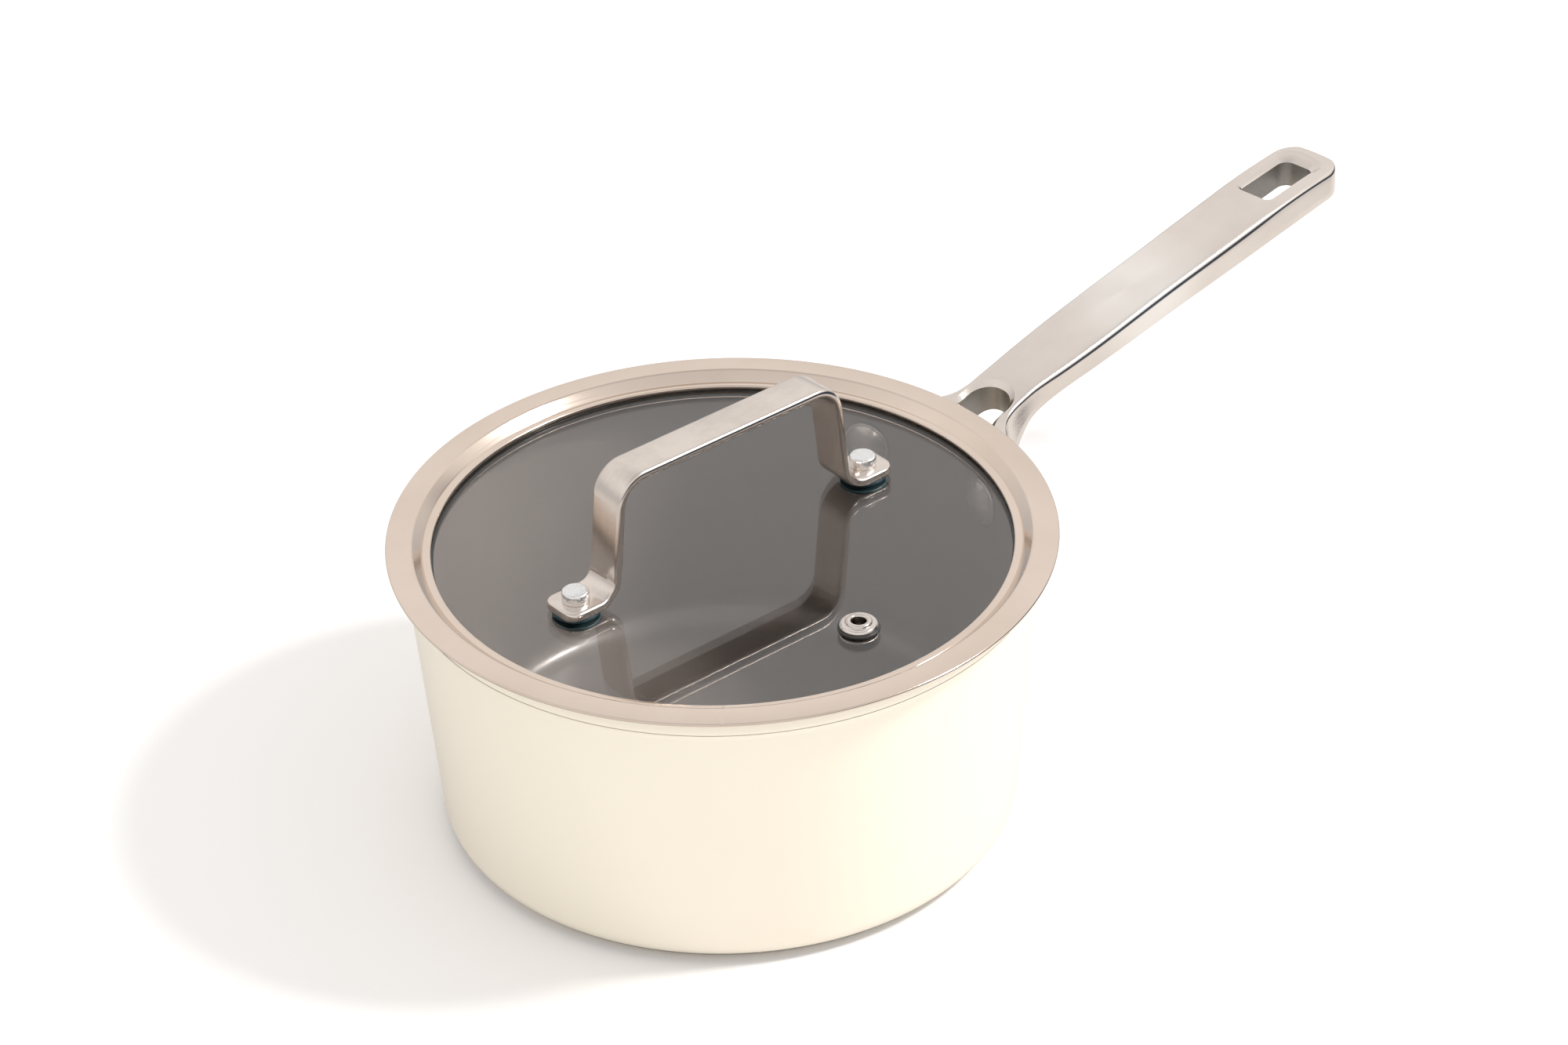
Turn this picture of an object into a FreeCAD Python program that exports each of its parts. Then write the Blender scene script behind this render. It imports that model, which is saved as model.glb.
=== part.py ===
import FreeCAD, Part
import math
import os
import re
import Sketcher

# Saucepan with a flat glass lid, built as separate pieces.
# Frame: origin on the pan's axis at the table, +X along the pan handle, +Z up, millimetres.
# The lid's pieces share one turn about the pan's axis, because a round lid can sit at any angle.

SIZES = [
    # pan body: drawn aluminium pot, ceramic coated
    ("body_height", 100.5, "table to the top of the pan's rim"),
    ("mouth_radius", 102.2, "outside of the flared lip"),
    ("wall_top_radius", 101.0, "outside of the wall just under the lip band"),
    ("base_radius", 93.8, "outside of the wall where it would meet the table"),
    ("wall", 3.0, "wall thickness"),
    ("floor_thickness", 4.6, "table to the inside floor"),
    ("band_height", 8.6, "height of the lip band"),
    ("band_flare", 1.6, "height over which the wall steps out to the lip"),
    ("base_corner", 8.0, "rounding of the outside bottom corner"),
    ("floor_corner", 10.0, "rounding of the inside floor corner"),
    ("rim_round", 1.4, "rounding of the rim's top edges"),
    # base plate: steel disc pressed into the floor
    ("plate_inset", 19.8, "foot of the wall to the edge of the steel disc"),
    ("plate_thickness", 1.2, "steel base disc"),
    ("plate_proud", 0.4, "how far the disc stands below the pot's own base"),
    ("plate_groove_width", 1.4, "ring grooves under the disc"),
    ("plate_groove_depth", 0.4, "ring grooves under the disc"),
    ("plate_groove_pitch", 14.0, "spacing of the ring grooves"),
    # pan handle: one steel casting with a forked root
    ("handle_reach", 296.5, "pan axis to the handle's tip"),
    ("handle_end_half", 13.0, "half width at the hanging hole"),
    ("handle_middle_half", 12.6, "half width at the middle of the grip"),
    ("handle_neck_half", 11.4, "half width where the fork starts"),
    ("handle_depth", 10.6, "depth of the grip"),
    ("grip_root_height", 97.4, "top of the grip at the fork"),
    ("grip_middle_height", 109.2, "top of the grip at its middle"),
    ("grip_tip_height", 119.4, "top of the grip at the tip"),
    ("fork_start", 137.0, "pan axis to the start of the fork"),
    ("middle_at", 209.0, "pan axis to the middle of the grip"),
    ("fork_opening", 132.6, "pan axis to the outer end of the fork's opening"),
    ("fork_opening_half", 9.4, "half width of the opening's round end"),
    ("tip_round", 9.0, "rounding of the handle's end in plan"),
    ("grip_edge", 1.6, "rounding along the grip's edges"),
    ("hole_length", 27.4, "hanging hole"),
    ("hole_half", 6.6, "half width of the hanging hole"),
    ("hole_round", 5.2, "corner rounding of the hanging hole"),
    ("hole_end_gap", 8.0, "metal between the hanging hole and the tip"),
    ("pad_margin", 10.6, "metal beyond each rivet's axis in the fork's mounting pads"),
    ("pad_half_height", 12.0, "half height of the fork's mounting pads"),
    ("pad_thickness", 4.2, "metal between the pot's wall and the rivet's outer head"),
    # handle rivets
    ("rivet_height", 77.0, "table to the handle rivets"),
    ("rivet_angle", 15.7, "rivets either side of the handle, degrees"),
    ("rivet_shank", 2.9, "radius of the handle rivet's shank"),
    ("rivet_head", 8.5, "radius of the inside head"),
    ("rivet_head_edge", 0.9, "straight edge of the inside head"),
    ("rivet_dome", 2.3, "rise of the inside head above its edge"),
    ("rivet_tail", 5.2, "radius of the outside head"),
    ("rivet_tail_height", 2.0, "outside head"),
    ("spot_clearance", 0.6, "room round the outside head in its spot face"),
    # lid rim: folded steel hoop round the glass
    ("lid_turn", -5.2, "turn of the lid about the pan's axis, degrees"),
    ("lid_seat", 0.6, "pan's rim to the top of the flange's outer edge"),
    ("lid_overhang", 4.8, "flange beyond the pan's lip"),
    ("flange_width", 8.0, "outer edge to the crest of the flange"),
    ("flange_fall", 0.4, "fall of the flange from its crest to its edge"),
    ("hem_width", 3.8, "folded edge under the flange"),
    ("hem_thickness", 1.1, "folded edge under the flange"),
    ("slope_width", 3.4, "slope inside the flange"),
    ("slope_drop", 2.65, "edge of the flange down to the inner ring"),
    ("ring_width", 2.9, "inner ring that holds the glass"),
    ("rim_sheet", 0.6, "thickness of the rim's sheet"),
    ("jaw_depth", 3.9, "how far the lower jaw reaches under the glass"),
    # glass and its seal
    ("glass_thickness", 3.8, "tempered glass"),
    ("glass_drop", 1.65, "inner ring down to the glass"),
    ("glass_edge_gap", 0.8, "seal between the glass edge and the rim"),
    ("glass_edge_round", 0.8, "ground edge of the glass"),
    ("seal_leg", 0.5, "seal under the glass"),
    ("lip_clearance", 0.1, "rim's lip above the glass"),
    # lid handle: bent steel strap
    ("strap_span", 118.0, "between the strap's two rivets"),
    ("strap_width", 13.6, "strap"),
    ("strap_thickness", 2.8, "strap"),
    ("strap_rise", 39.8, "foot top to bar top"),
    ("strap_bar_half", 43.2, "pan axis to the middle of the leg at the top"),
    ("strap_leg_half", 47.6, "pan axis to the middle of the leg at the foot"),
    ("strap_bend", 9.5, "bend radius at the bar"),
    ("strap_foot_bend", 7.5, "bend radius at the foot"),
    ("strap_edge", 1.0, "rounding along the strap's edges"),
    ("ear_width", 15.6, "rounded foot"),
    ("ear_reach", 7.6, "rivet to the tip of the foot"),
    ("ear_round", 4.2, "corner rounding of the foot"),
    # lid rivets and washers
    ("stud_radius", 2.5, "shank of the lid rivet"),
    ("stud_hole_gap", 0.9, "room round the shank in the glass"),
    ("button_radius", 4.4, "top of the lid rivet"),
    ("button_height", 3.8, "top of the lid rivet"),
    ("button_round", 0.7, "rounding of the lid rivet's top edge"),
    ("washer_radius", 7.8, "silicone washer"),
    ("washer_thickness", 1.3, "silicone washer"),
    ("backing_radius", 7.0, "steel washer under the lid"),
    ("backing_thickness", 0.8, "steel washer under the lid"),
    ("tail_radius", 4.4, "lower head of the lid rivet"),
    ("tail_height", 1.8, "lower head of the lid rivet"),
    # steam vent
    ("vent_distance", 66.2, "pan axis to the vent"),
    ("vent_bore", 2.35, "radius of the steam hole"),
    ("vent_tube", 0.6, "thickness of the eyelet's tube"),
    ("vent_flange", 6.1, "radius of the eyelet's flange"),
    ("vent_rise", 2.3, "eyelet above its gasket"),
    ("vent_gasket_radius", 6.7, "vent gasket"),
    ("vent_gasket_thickness", 0.9, "vent gasket"),
    ("vent_sleeve", 0.7, "gasket between the eyelet's tube and the glass"),
    ("vent_flare", 1.4, "flare of the eyelet's lower end"),
]

doc = FreeCAD.newDocument("Saucepan")
sheet = doc.addObject("Spreadsheet::Sheet", "Sizes")
for row, (alias, value, note) in enumerate(SIZES, start=1):
    sheet.set(f"A{row}", alias)
    sheet.set(f"B{row}", str(value))
    sheet.set(f"C{row}", note)
    sheet.setAlias(f"B{row}", alias)
doc.recompute()

ALIASES = {alias for alias, _, _ in SIZES}
SUBPARTS = []


def cells(text):
    """Write 'wall / 2' as 'Sizes.wall / 2' wherever a word is a cell's alias."""
    return re.sub(r"[a-z_]+", lambda word: ("Sizes." if word[0] in ALIASES else "") + word[0], text)


def value_of(text):
    return float(sheet.evalExpression(cells(text)))


def bind(thing, name, text):
    thing.setExpression(name, cells(text))


def new_body(label):
    body = doc.addObject("PartDesign::Body", label)
    body.Label = label
    SUBPARTS.append(body)
    return body


def turn_with_lid(body, along="0", across="0"):
    """Place a lid piece: moved in the lid's own frame, then turned about the pan's axis."""
    turn = FreeCAD.Rotation(FreeCAD.Vector(0, 0, 1), value_of("lid_turn"))
    shift = FreeCAD.Vector(value_of(along), value_of(across), 0)
    body.Placement = FreeCAD.Placement(turn.multVec(shift), turn)


def new_sketch(body, name, plane, offset=None, turn=None):
    sketch = body.newObject("Sketcher::SketchObject", name)
    origin = [item for item in body.Origin.OriginFeatures if item.Role == plane][0]
    sketch.AttachmentSupport = [(origin, "")]
    sketch.MapMode = "FlatFace"
    if turn:
        spin = FreeCAD.Rotation(FreeCAD.Vector(0, 1, 0), value_of(turn))
        lift = spin.multVec(FreeCAD.Vector(0, 0, value_of(offset or "0")))
        sketch.AttachmentOffset = FreeCAD.Placement(lift, spin)
    elif offset:
        bind(sketch, "AttachmentOffset.Base.z", offset)
        doc.recompute()
    return sketch


def pin(sketch, geometry, end, corner):
    """Hold one point of the sketch at a corner whose two coordinates come from the sheet."""
    for kind, text in zip(("DistanceX", "DistanceY"), corner):
        number = sketch.addConstraint(
            Sketcher.Constraint(kind, -1, 1, geometry, end, value_of(text)))
        bind(sketch, f"Constraints[{number}]", text)


def outline(sketch, corners, closed=True):
    """Draw straight runs through the corners; a corner's third entry rounds it with an arc."""
    points = [FreeCAD.Vector(value_of(c[0]), value_of(c[1]), 0) for c in corners]
    count = len(points)
    starts = list(points)
    ends = list(points)
    arcs = {}
    for index, corner in enumerate(corners):
        if len(corner) == 2:
            continue
        radius = value_of(corner[2])
        back = (points[index - 1] - points[index]).normalize()
        ahead = (points[(index + 1) % count] - points[index]).normalize()
        half = back.getAngle(ahead) / 2
        reach = radius / math.tan(half)
        centre = points[index] + (back + ahead).normalize() * (radius / math.sin(half))
        ends[index] = points[index] + back * reach
        starts[index] = points[index] + ahead * reach
        middle = centre + (points[index] - centre).normalize() * radius
        arcs[index] = Part.Arc(ends[index], middle, starts[index])
    runs = []
    for index in range(count if closed else count - 1):
        after = (index + 1) % count
        runs.append(sketch.addGeometry(Part.LineSegment(starts[index], ends[after]), False))
    for index, corner in enumerate(corners):
        before = runs[index - 1] if closed or index > 0 else None
        following = runs[index] if index < len(runs) else None
        if index not in arcs:
            if before is not None and following is not None:
                sketch.addConstraint(Sketcher.Constraint("Coincident", before, 2, following, 1))
            if following is not None:
                pin(sketch, following, 1, corner)
            else:
                pin(sketch, before, 2, corner)
            continue
        curve = sketch.addGeometry(arcs[index], False)
        first = 1 if sketch.getPoint(curve, 1).distanceToPoint(ends[index]) < 1e-6 else 2
        mark = sketch.addGeometry(Part.Point(points[index]), True)
        pin(sketch, mark, 1, corner)
        sketch.addConstraint(Sketcher.Constraint("PointOnObject", mark, 1, before))
        sketch.addConstraint(Sketcher.Constraint("PointOnObject", mark, 1, following))
        sketch.addConstraint(Sketcher.Constraint("Tangent", before, 2, curve, first))
        sketch.addConstraint(Sketcher.Constraint("Tangent", following, 1, curve, 3 - first))
        number = sketch.addConstraint(Sketcher.Constraint("Radius", curve, value_of(corner[2])))
        bind(sketch, f"Constraints[{number}]", corner[2])


def ring(sketch, centre, radius):
    middle = FreeCAD.Vector(value_of(centre[0]), value_of(centre[1]), 0)
    circle = Part.Circle(middle, FreeCAD.Vector(0, 0, 1), value_of(radius))
    geometry = sketch.addGeometry(circle, False)
    pin(sketch, geometry, 3, centre)
    number = sketch.addConstraint(Sketcher.Constraint("Radius", geometry, value_of(radius)))
    bind(sketch, f"Constraints[{number}]", radius)


def revolve(body, name, corners, kind="PartDesign::Revolution"):
    """Turn a half section, drawn as radius and height, about the body's Z axis."""
    sketch = new_sketch(body, name + "Section", "XZ_Plane")
    outline(sketch, corners)
    feature = body.newObject(kind, name)
    feature.Profile = sketch
    feature.ReferenceAxis = (sketch, ["V_Axis"])
    feature.Angle = 360
    doc.recompute()
    return feature


def pad(body, name, sketch, length, midplane=False):
    feature = body.newObject("PartDesign::Pad", name)
    feature.Profile = sketch
    feature.Midplane = midplane
    bind(feature, "Length", length)
    doc.recompute()
    return feature


def cut_through(body, name, sketch, forward=False, both=False):
    """Pocket through everything and check that it took metal away."""
    before = body.Shape.Volume
    feature = body.newObject("PartDesign::Pocket", name)
    feature.Profile = sketch
    feature.Type = 1
    feature.Midplane = both
    feature.Reversed = forward
    doc.recompute()
    if body.Shape.Volume > before - 0.1:
        raise RuntimeError(f"{name} removed nothing")
    return feature


def edges_where(feature, wanted):
    return [f"Edge{number}" for number, edge in enumerate(feature.Shape.Edges, start=1)
            if wanted(edge)]


def soften(body, name, feature, edges, radius):
    if not edges:
        raise RuntimeError(f"{name} found no edges")
    fillet = body.newObject("PartDesign::Fillet", name)
    fillet.Base = (feature, edges)
    bind(fillet, "Radius", radius)
    doc.recompute()
    return fillet


# Heights and radii that several pieces share.
BAND_LOW = "( body_height - band_height )"
BAND_TOP = "( body_height - band_height + band_flare )"
WALL_AT_RIVET = ("( base_radius + ( wall_top_radius - base_radius ) * rivet_height "
                 "/ ( body_height - band_height ) )")
PLATE_EDGE = "( base_radius - plate_inset )"
PAD_HALF = "( ( base_radius + wall_top_radius ) / 2 * sin(rivet_angle) + pad_margin )"
LID_TOP = "( body_height + lid_seat )"
LID_RADIUS = "( mouth_radius + lid_overhang )"
CREST = "( mouth_radius + lid_overhang - flange_width )"
SLOPE_FOOT = "( mouth_radius + lid_overhang - flange_width - slope_width )"
LIP = "( mouth_radius + lid_overhang - flange_width - slope_width - ring_width )"
RING_TOP = "( body_height + lid_seat - slope_drop )"
GLASS_TOP = "( body_height + lid_seat - slope_drop - glass_drop )"
GLASS_LOW = "( body_height + lid_seat - slope_drop - glass_drop - glass_thickness )"
CHANNEL = "( mouth_radius + lid_overhang - flange_width - slope_width + 0.4 )"
FOOT_LOW = f"( {GLASS_TOP} + washer_thickness )"
FOOT_TOP = f"( {GLASS_TOP} + washer_thickness + strap_thickness )"
UNDER_WASHER = f"( {GLASS_LOW} - washer_thickness )"
UNDER_BACKING = f"( {GLASS_LOW} - washer_thickness - backing_thickness )"


# Pan body: one drawn pot, thicker at the floor, stepping out to a lip band at the mouth.
# Its underside is recessed for the steel disc.
pot = new_body("pan_body")
shell = revolve(pot, "PotShell", [
    ("0", "plate_thickness"),
    (PLATE_EDGE, "plate_thickness"),
    (PLATE_EDGE, "plate_proud"),
    ("base_radius", "plate_proud", "base_corner"),
    ("wall_top_radius", BAND_LOW, "6"),
    ("mouth_radius", BAND_TOP, "4"),
    ("mouth_radius", "body_height", "rim_round"),
    ("mouth_radius - wall", "body_height", "rim_round"),
    ("mouth_radius - wall", BAND_TOP, "4"),
    ("wall_top_radius - wall", BAND_LOW, "6"),
    ("base_radius - wall", "floor_thickness", "floor_corner"),
    ("0", "floor_thickness"),
])


def drill_for_rivets(body):
    """Radial shank holes through the wall, one each side of the handle."""
    for side, angle in (("Left", "rivet_angle"), ("Right", "0 - rivet_angle")):
        sketch = new_sketch(body, f"RivetHole{side}Sketch", "YZ_Plane", turn=angle)
        ring(sketch, ("0", "rivet_height"), "rivet_shank")
        cut_through(body, f"RivetHole{side}", sketch, forward=True)


drill_for_rivets(pot)

# Base plate: flat steel disc set into the pot's underside, with three turned ring grooves.
disc = new_body("base_plate")
plate = revolve(disc, "Disc", [
    ("0", "0"), (PLATE_EDGE, "0"), (PLATE_EDGE, "plate_thickness"), ("0", "plate_thickness")])
for number in (2, 3, 4):
    middle = f"plate_groove_pitch * {number}"
    before = disc.Shape.Volume
    revolve(disc, f"RingGroove{number}", [
        (f"{middle} - plate_groove_width / 2", "0"),
        (f"{middle} + plate_groove_width / 2", "0"),
        (f"{middle} + plate_groove_width / 2", "plate_groove_depth"),
        (f"{middle} - plate_groove_width / 2", "plate_groove_depth")], "PartDesign::Groove")
    if disc.Shape.Volume > before - 0.1:
        raise RuntimeError("ring groove removed nothing")

# Pan handle: a steel casting. The plan is padded up, then its side view is cut away, then the
# fork's opening, the hanging hole and the seat against the pot's wall.
handle = new_body("pan_handle")
plan = new_sketch(handle, "HandlePlan", "XY_Plane")
right_side = [
    ("base_radius - wall", f"0 - {PAD_HALF}"),
    ("base_radius + 10", f"0 - {PAD_HALF}", "10"),
    ("fork_start - 19", "0 - handle_neck_half - 2", "22"),
    ("fork_start", "0 - handle_neck_half", "60"),
    ("middle_at", "0 - handle_middle_half", "300"),
    ("handle_reach - 32", "0 - handle_end_half", "120"),
    ("handle_reach", "0 - handle_end_half", "tip_round"),
]
left_side = [(corner[0], f"0 - ( {corner[1]} )", *corner[2:]) for corner in reversed(right_side)]
outline(plan, right_side + left_side)
pad(handle, "HandleBlank", plan, "grip_tip_height + 1")

over = new_sketch(handle, "OverGrip", "XZ_Plane")
outline(over, [
    ("base_radius - wall - 1", "rivet_height + pad_half_height"),
    ("fork_start - 20", "grip_root_height - 5.2", "40"),
    ("fork_start", "grip_root_height", "120"),
    ("middle_at", "grip_middle_height", "400"),
    ("handle_reach - 20", "grip_tip_height - 1.4", "200"),
    ("handle_reach + 1", "grip_tip_height"),
    ("handle_reach + 1", "grip_tip_height + 2"),
    ("base_radius - wall - 1", "grip_tip_height + 2"),
])
cut_through(handle, "CutOver", over, both=True)

under = new_sketch(handle, "UnderGrip", "XZ_Plane")
outline(under, [
    ("base_radius - wall - 1", "rivet_height - pad_half_height"),
    ("base_radius + 17", "rivet_height - pad_half_height + 4", "14"),
    ("fork_start - 4", "grip_root_height - handle_depth + 2", "22"),
    ("fork_start + 20", "grip_root_height - handle_depth + 5", "60"),
    ("middle_at", "grip_middle_height - handle_depth", "300"),
    ("handle_reach + 1", "grip_tip_height - handle_depth"),
    ("handle_reach + 1", "0 - 1"),
    ("base_radius - wall - 1", "0 - 1"),
])
cut_through(handle, "CutUnder", under, both=True)

opening = new_sketch(handle, "ForkOpening", "XY_Plane")
outline(opening, [
    ("base_radius - wall - 1", "0 - fork_opening_half - 10"),
    ("fork_opening - 24", "0 - fork_opening_half - 5", "12"),
    ("fork_opening - 14", "0 - fork_opening_half", "12"),
    ("fork_opening", "0 - fork_opening_half", "fork_opening_half * 0.96"),
    ("fork_opening", "fork_opening_half", "fork_opening_half * 0.96"),
    ("fork_opening - 14", "fork_opening_half", "12"),
    ("fork_opening - 24", "fork_opening_half + 5", "12"),
    ("base_radius - wall - 1", "fork_opening_half + 10"),
])
cut_through(handle, "CutFork", opening, forward=True)

eye = new_sketch(handle, "HangingHole", "XY_Plane")
outline(eye, [
    ("handle_reach - hole_end_gap - hole_length", "0 - hole_half", "hole_round"),
    ("handle_reach - hole_end_gap", "0 - hole_half", "hole_round"),
    ("handle_reach - hole_end_gap", "hole_half", "hole_round"),
    ("handle_reach - hole_end_gap - hole_length", "hole_half", "hole_round"),
])
cut_through(handle, "CutHangingHole", eye, forward=True)

before = handle.Shape.Volume
seat = revolve(handle, "WallSeat", [
    ("0", "plate_proud"),
    ("base_radius", "plate_proud"),
    ("wall_top_radius", BAND_LOW, "6"),
    ("mouth_radius", BAND_TOP, "4"),
    ("mouth_radius", "grip_tip_height + 5"),
    ("0", "grip_tip_height + 5"),
], "PartDesign::Groove")
if handle.Shape.Volume > before - 0.1:
    raise RuntimeError("wall seat removed nothing")
grip_edges = edges_where(seat, lambda edge: edge.CenterOfMass.x > value_of("fork_start + 2")
                         and abs(edge.tangentAt(edge.FirstParameter).z) < 0.5)
soften(handle, "GripEdges", seat, grip_edges, "grip_edge")
drill_for_rivets(handle)
for side, angle in (("Left", "rivet_angle"), ("Right", "0 - rivet_angle")):
    sketch = new_sketch(handle, f"SpotFace{side}Sketch", "YZ_Plane",
                        offset=f"{WALL_AT_RIVET} + pad_thickness", turn=angle)
    ring(sketch, ("0", "rivet_height"), "rivet_tail + spot_clearance")
    cut_through(handle, f"SpotFace{side}", sketch, forward=True)

# Handle rivets: a domed head inside the pot, cut to lie on the wall, and a peened head outside.
for side, sign in (("left", 1), ("right", -1)):
    rivet = new_body(f"handle_rivet_{side}")
    face = f"( {WALL_AT_RIVET} - wall )"
    axis_height = "rivet_height"
    dome_radius = "( rivet_head * rivet_head + rivet_dome * rivet_dome ) / ( 2 * rivet_dome )"
    head = new_sketch(rivet, "HeadSection", "XZ_Plane")
    apex = (f"{face} - rivet_head_edge - rivet_dome", axis_height)
    rim = (f"{face} - rivet_head_edge", f"{axis_height} + rivet_head")
    far = f"{face} + wall"
    corners = [apex, rim, (far, rim[1]), (far, axis_height)]
    points = [FreeCAD.Vector(value_of(x), value_of(y), 0) for x, y in corners]
    bow = value_of(dome_radius)
    centre = points[0] + FreeCAD.Vector(bow, 0, 0)
    middle = centre + ((points[0] + points[1]) / 2 - centre).normalize() * bow
    head.addGeometry(Part.Arc(points[0], middle, points[1]), False)
    for index in (1, 2, 3):
        head.addGeometry(Part.LineSegment(points[index], points[(index + 1) % 4]), False)
    first = 1 if head.getPoint(0, 1).distanceToPoint(points[0]) < 1e-6 else 2
    head.addConstraint(Sketcher.Constraint("Coincident", 0, 3 - first, 1, 1))
    head.addConstraint(Sketcher.Constraint("Coincident", 1, 2, 2, 1))
    head.addConstraint(Sketcher.Constraint("Coincident", 2, 2, 3, 1))
    head.addConstraint(Sketcher.Constraint("Coincident", 3, 2, 0, first))
    for index in (1, 2, 3):
        pin(head, index, 1, corners[index])
    pin(head, 0, first, apex)
    number = head.addConstraint(Sketcher.Constraint("Radius", 0, bow))
    bind(head, f"Constraints[{number}]", dome_radius)
    dome = rivet.newObject("PartDesign::Revolution", "Head")
    dome.Profile = head
    dome.ReferenceAxis = (head, ["Edge4"])
    dome.Angle = 360
    doc.recompute()
    revolve(rivet, "LieOnWall", [
        ("base_radius - wall", "floor_thickness"),
        ("wall_top_radius - wall", BAND_LOW),
        ("wall_top_radius + 30", BAND_LOW),
        ("wall_top_radius + 30", "floor_thickness"),
    ], "PartDesign::Groove")
    shank = new_sketch(rivet, "ShankSection", "XZ_Plane")
    outline(shank, [
        (f"{face} - rivet_head_edge / 2", axis_height),
        (f"{face} - rivet_head_edge / 2", f"{axis_height} + rivet_shank"),
        (f"{WALL_AT_RIVET} + pad_thickness", f"{axis_height} + rivet_shank"),
        (f"{WALL_AT_RIVET} + pad_thickness", f"{axis_height} + rivet_tail"),
        (f"{WALL_AT_RIVET} + pad_thickness + rivet_tail_height / 2", f"{axis_height} + rivet_tail"),
        (f"{WALL_AT_RIVET} + pad_thickness + rivet_tail_height", f"{axis_height} + rivet_tail * 0.75"),
        (f"{WALL_AT_RIVET} + pad_thickness + rivet_tail_height", axis_height),
    ])
    stem = rivet.newObject("PartDesign::Revolution", "Shank")
    stem.Profile = shank
    stem.ReferenceAxis = (shank, ["Edge7"])
    stem.Angle = 360
    doc.recompute()
    spin = FreeCAD.Rotation(FreeCAD.Vector(0, 0, 1), sign * value_of("rivet_angle"))
    rivet.Placement = FreeCAD.Placement(FreeCAD.Vector(0, 0, 0), spin)

# Lid glass: flat tempered disc with holes for the two rivets and the vent.
glass = new_body("lid_glass")
pane = revolve(glass, "Pane", [
    ("0", GLASS_LOW),
    (f"{CHANNEL} - glass_edge_gap", GLASS_LOW, "glass_edge_round"),
    (f"{CHANNEL} - glass_edge_gap", GLASS_TOP, "glass_edge_round"),
    ("0", GLASS_TOP),
])
holes = new_sketch(glass, "GlassHoles", "XY_Plane")
ring(holes, ("strap_span / 2", "0"), "stud_radius + stud_hole_gap")
ring(holes, ("0 - strap_span / 2", "0"), "stud_radius + stud_hole_gap")
ring(holes, ("0", "0 - vent_distance"), "vent_bore + vent_tube + vent_sleeve")
cut_through(glass, "CutGlassHoles", holes, forward=True)
turn_with_lid(glass)

# Lid rim: one folded steel hoop. A hemmed flange lies over the pan's lip, a slope runs down inside
# the mouth, and a channel grips the glass between an upper ring and a lower jaw.
hoop = new_body("lid_rim")
revolve(hoop, "HoopSection", [
    (LIP, f"{GLASS_TOP} + lip_clearance"),
    (LIP, RING_TOP, "rim_sheet * 0.9"),
    (f"{SLOPE_FOOT} - 0.25", RING_TOP),
    (f"{SLOPE_FOOT} - 0.05", f"{RING_TOP} - 0.22"),
    (f"{SLOPE_FOOT} + 0.25", f"{RING_TOP} + 0.06"),
    (f"{CREST} - 0.3", f"{LID_TOP} + flange_fall", "1.2"),
    (f"{LID_RADIUS}", f"{LID_TOP}", "hem_thickness * 0.45"),
    (f"{LID_RADIUS}", f"{LID_TOP} - hem_thickness", "hem_thickness * 0.45"),
    (f"{LID_RADIUS} - hem_width", f"{LID_TOP} - hem_thickness + flange_fall * 0.45"),
    (f"{LID_RADIUS} - hem_width", f"{LID_TOP} - rim_sheet + flange_fall * 0.45"),
    (f"{CREST} + 0.1", f"{LID_TOP} - rim_sheet + flange_fall * 0.9"),
    (f"{CHANNEL} + rim_sheet", f"{RING_TOP} - rim_sheet * 0.4"),
    (f"{CHANNEL} + rim_sheet", f"{GLASS_LOW} - seal_leg - rim_sheet", "rim_sheet * 0.9"),
    (f"{CHANNEL} - jaw_depth", f"{GLASS_LOW} - seal_leg - rim_sheet"),
    (f"{CHANNEL} - jaw_depth", f"{GLASS_LOW} - seal_leg"),
    (CHANNEL, f"{GLASS_LOW} - seal_leg"),
    (CHANNEL, f"{RING_TOP} - rim_sheet"),
    (f"{LIP} + rim_sheet", f"{RING_TOP} - rim_sheet"),
    (f"{LIP} + rim_sheet", f"{GLASS_TOP} + lip_clearance"),
])
turn_with_lid(hoop)

# Glass seal: silicone strip folded round the edge of the glass inside the rim's channel.
seal = new_body("glass_gasket")
revolve(seal, "SealSection", [
    (f"{LIP} + rim_sheet", GLASS_TOP),
    (f"{LIP} + rim_sheet", f"{RING_TOP} - rim_sheet"),
    (CHANNEL, f"{RING_TOP} - rim_sheet"),
    (CHANNEL, f"{GLASS_LOW} - seal_leg"),
    (f"{CHANNEL} - jaw_depth", f"{GLASS_LOW} - seal_leg"),
    (f"{CHANNEL} - jaw_depth", GLASS_LOW),
    (f"{CHANNEL} - glass_edge_gap", GLASS_LOW, "glass_edge_round"),
    (f"{CHANNEL} - glass_edge_gap", GLASS_TOP, "glass_edge_round"),
])
turn_with_lid(seal)

# Lid handle: a steel strap bent into a bar on two legs, with a rounded foot at each end.
strap = new_body("lid_handle")
path = new_sketch(strap, "StrapPath", "XZ_Plane")
foot_level = f"{FOOT_TOP} - strap_thickness / 2"
bar_level = f"{FOOT_TOP} + strap_rise - strap_thickness / 2"
outline(path, [
    ("0 - strap_span / 2", foot_level),
    ("0 - strap_leg_half", foot_level, "strap_foot_bend"),
    ("0 - strap_bar_half", bar_level, "strap_bend"),
    ("strap_bar_half", bar_level, "strap_bend"),
    ("strap_leg_half", foot_level, "strap_foot_bend"),
    ("strap_span / 2", foot_level),
], closed=False)
section = new_sketch(strap, "StrapSection", "YZ_Plane", offset="0 - strap_span / 2")
outline(section, [
    ("0 - strap_width / 2", f"{foot_level} - strap_thickness / 2", "strap_edge * 0.6"),
    ("strap_width / 2", f"{foot_level} - strap_thickness / 2", "strap_edge * 0.6"),
    ("strap_width / 2", f"{foot_level} + strap_thickness / 2", "strap_edge"),
    ("0 - strap_width / 2", f"{foot_level} + strap_thickness / 2", "strap_edge"),
])
sweep = strap.newObject("PartDesign::AdditivePipe", "StrapSweep")
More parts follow.
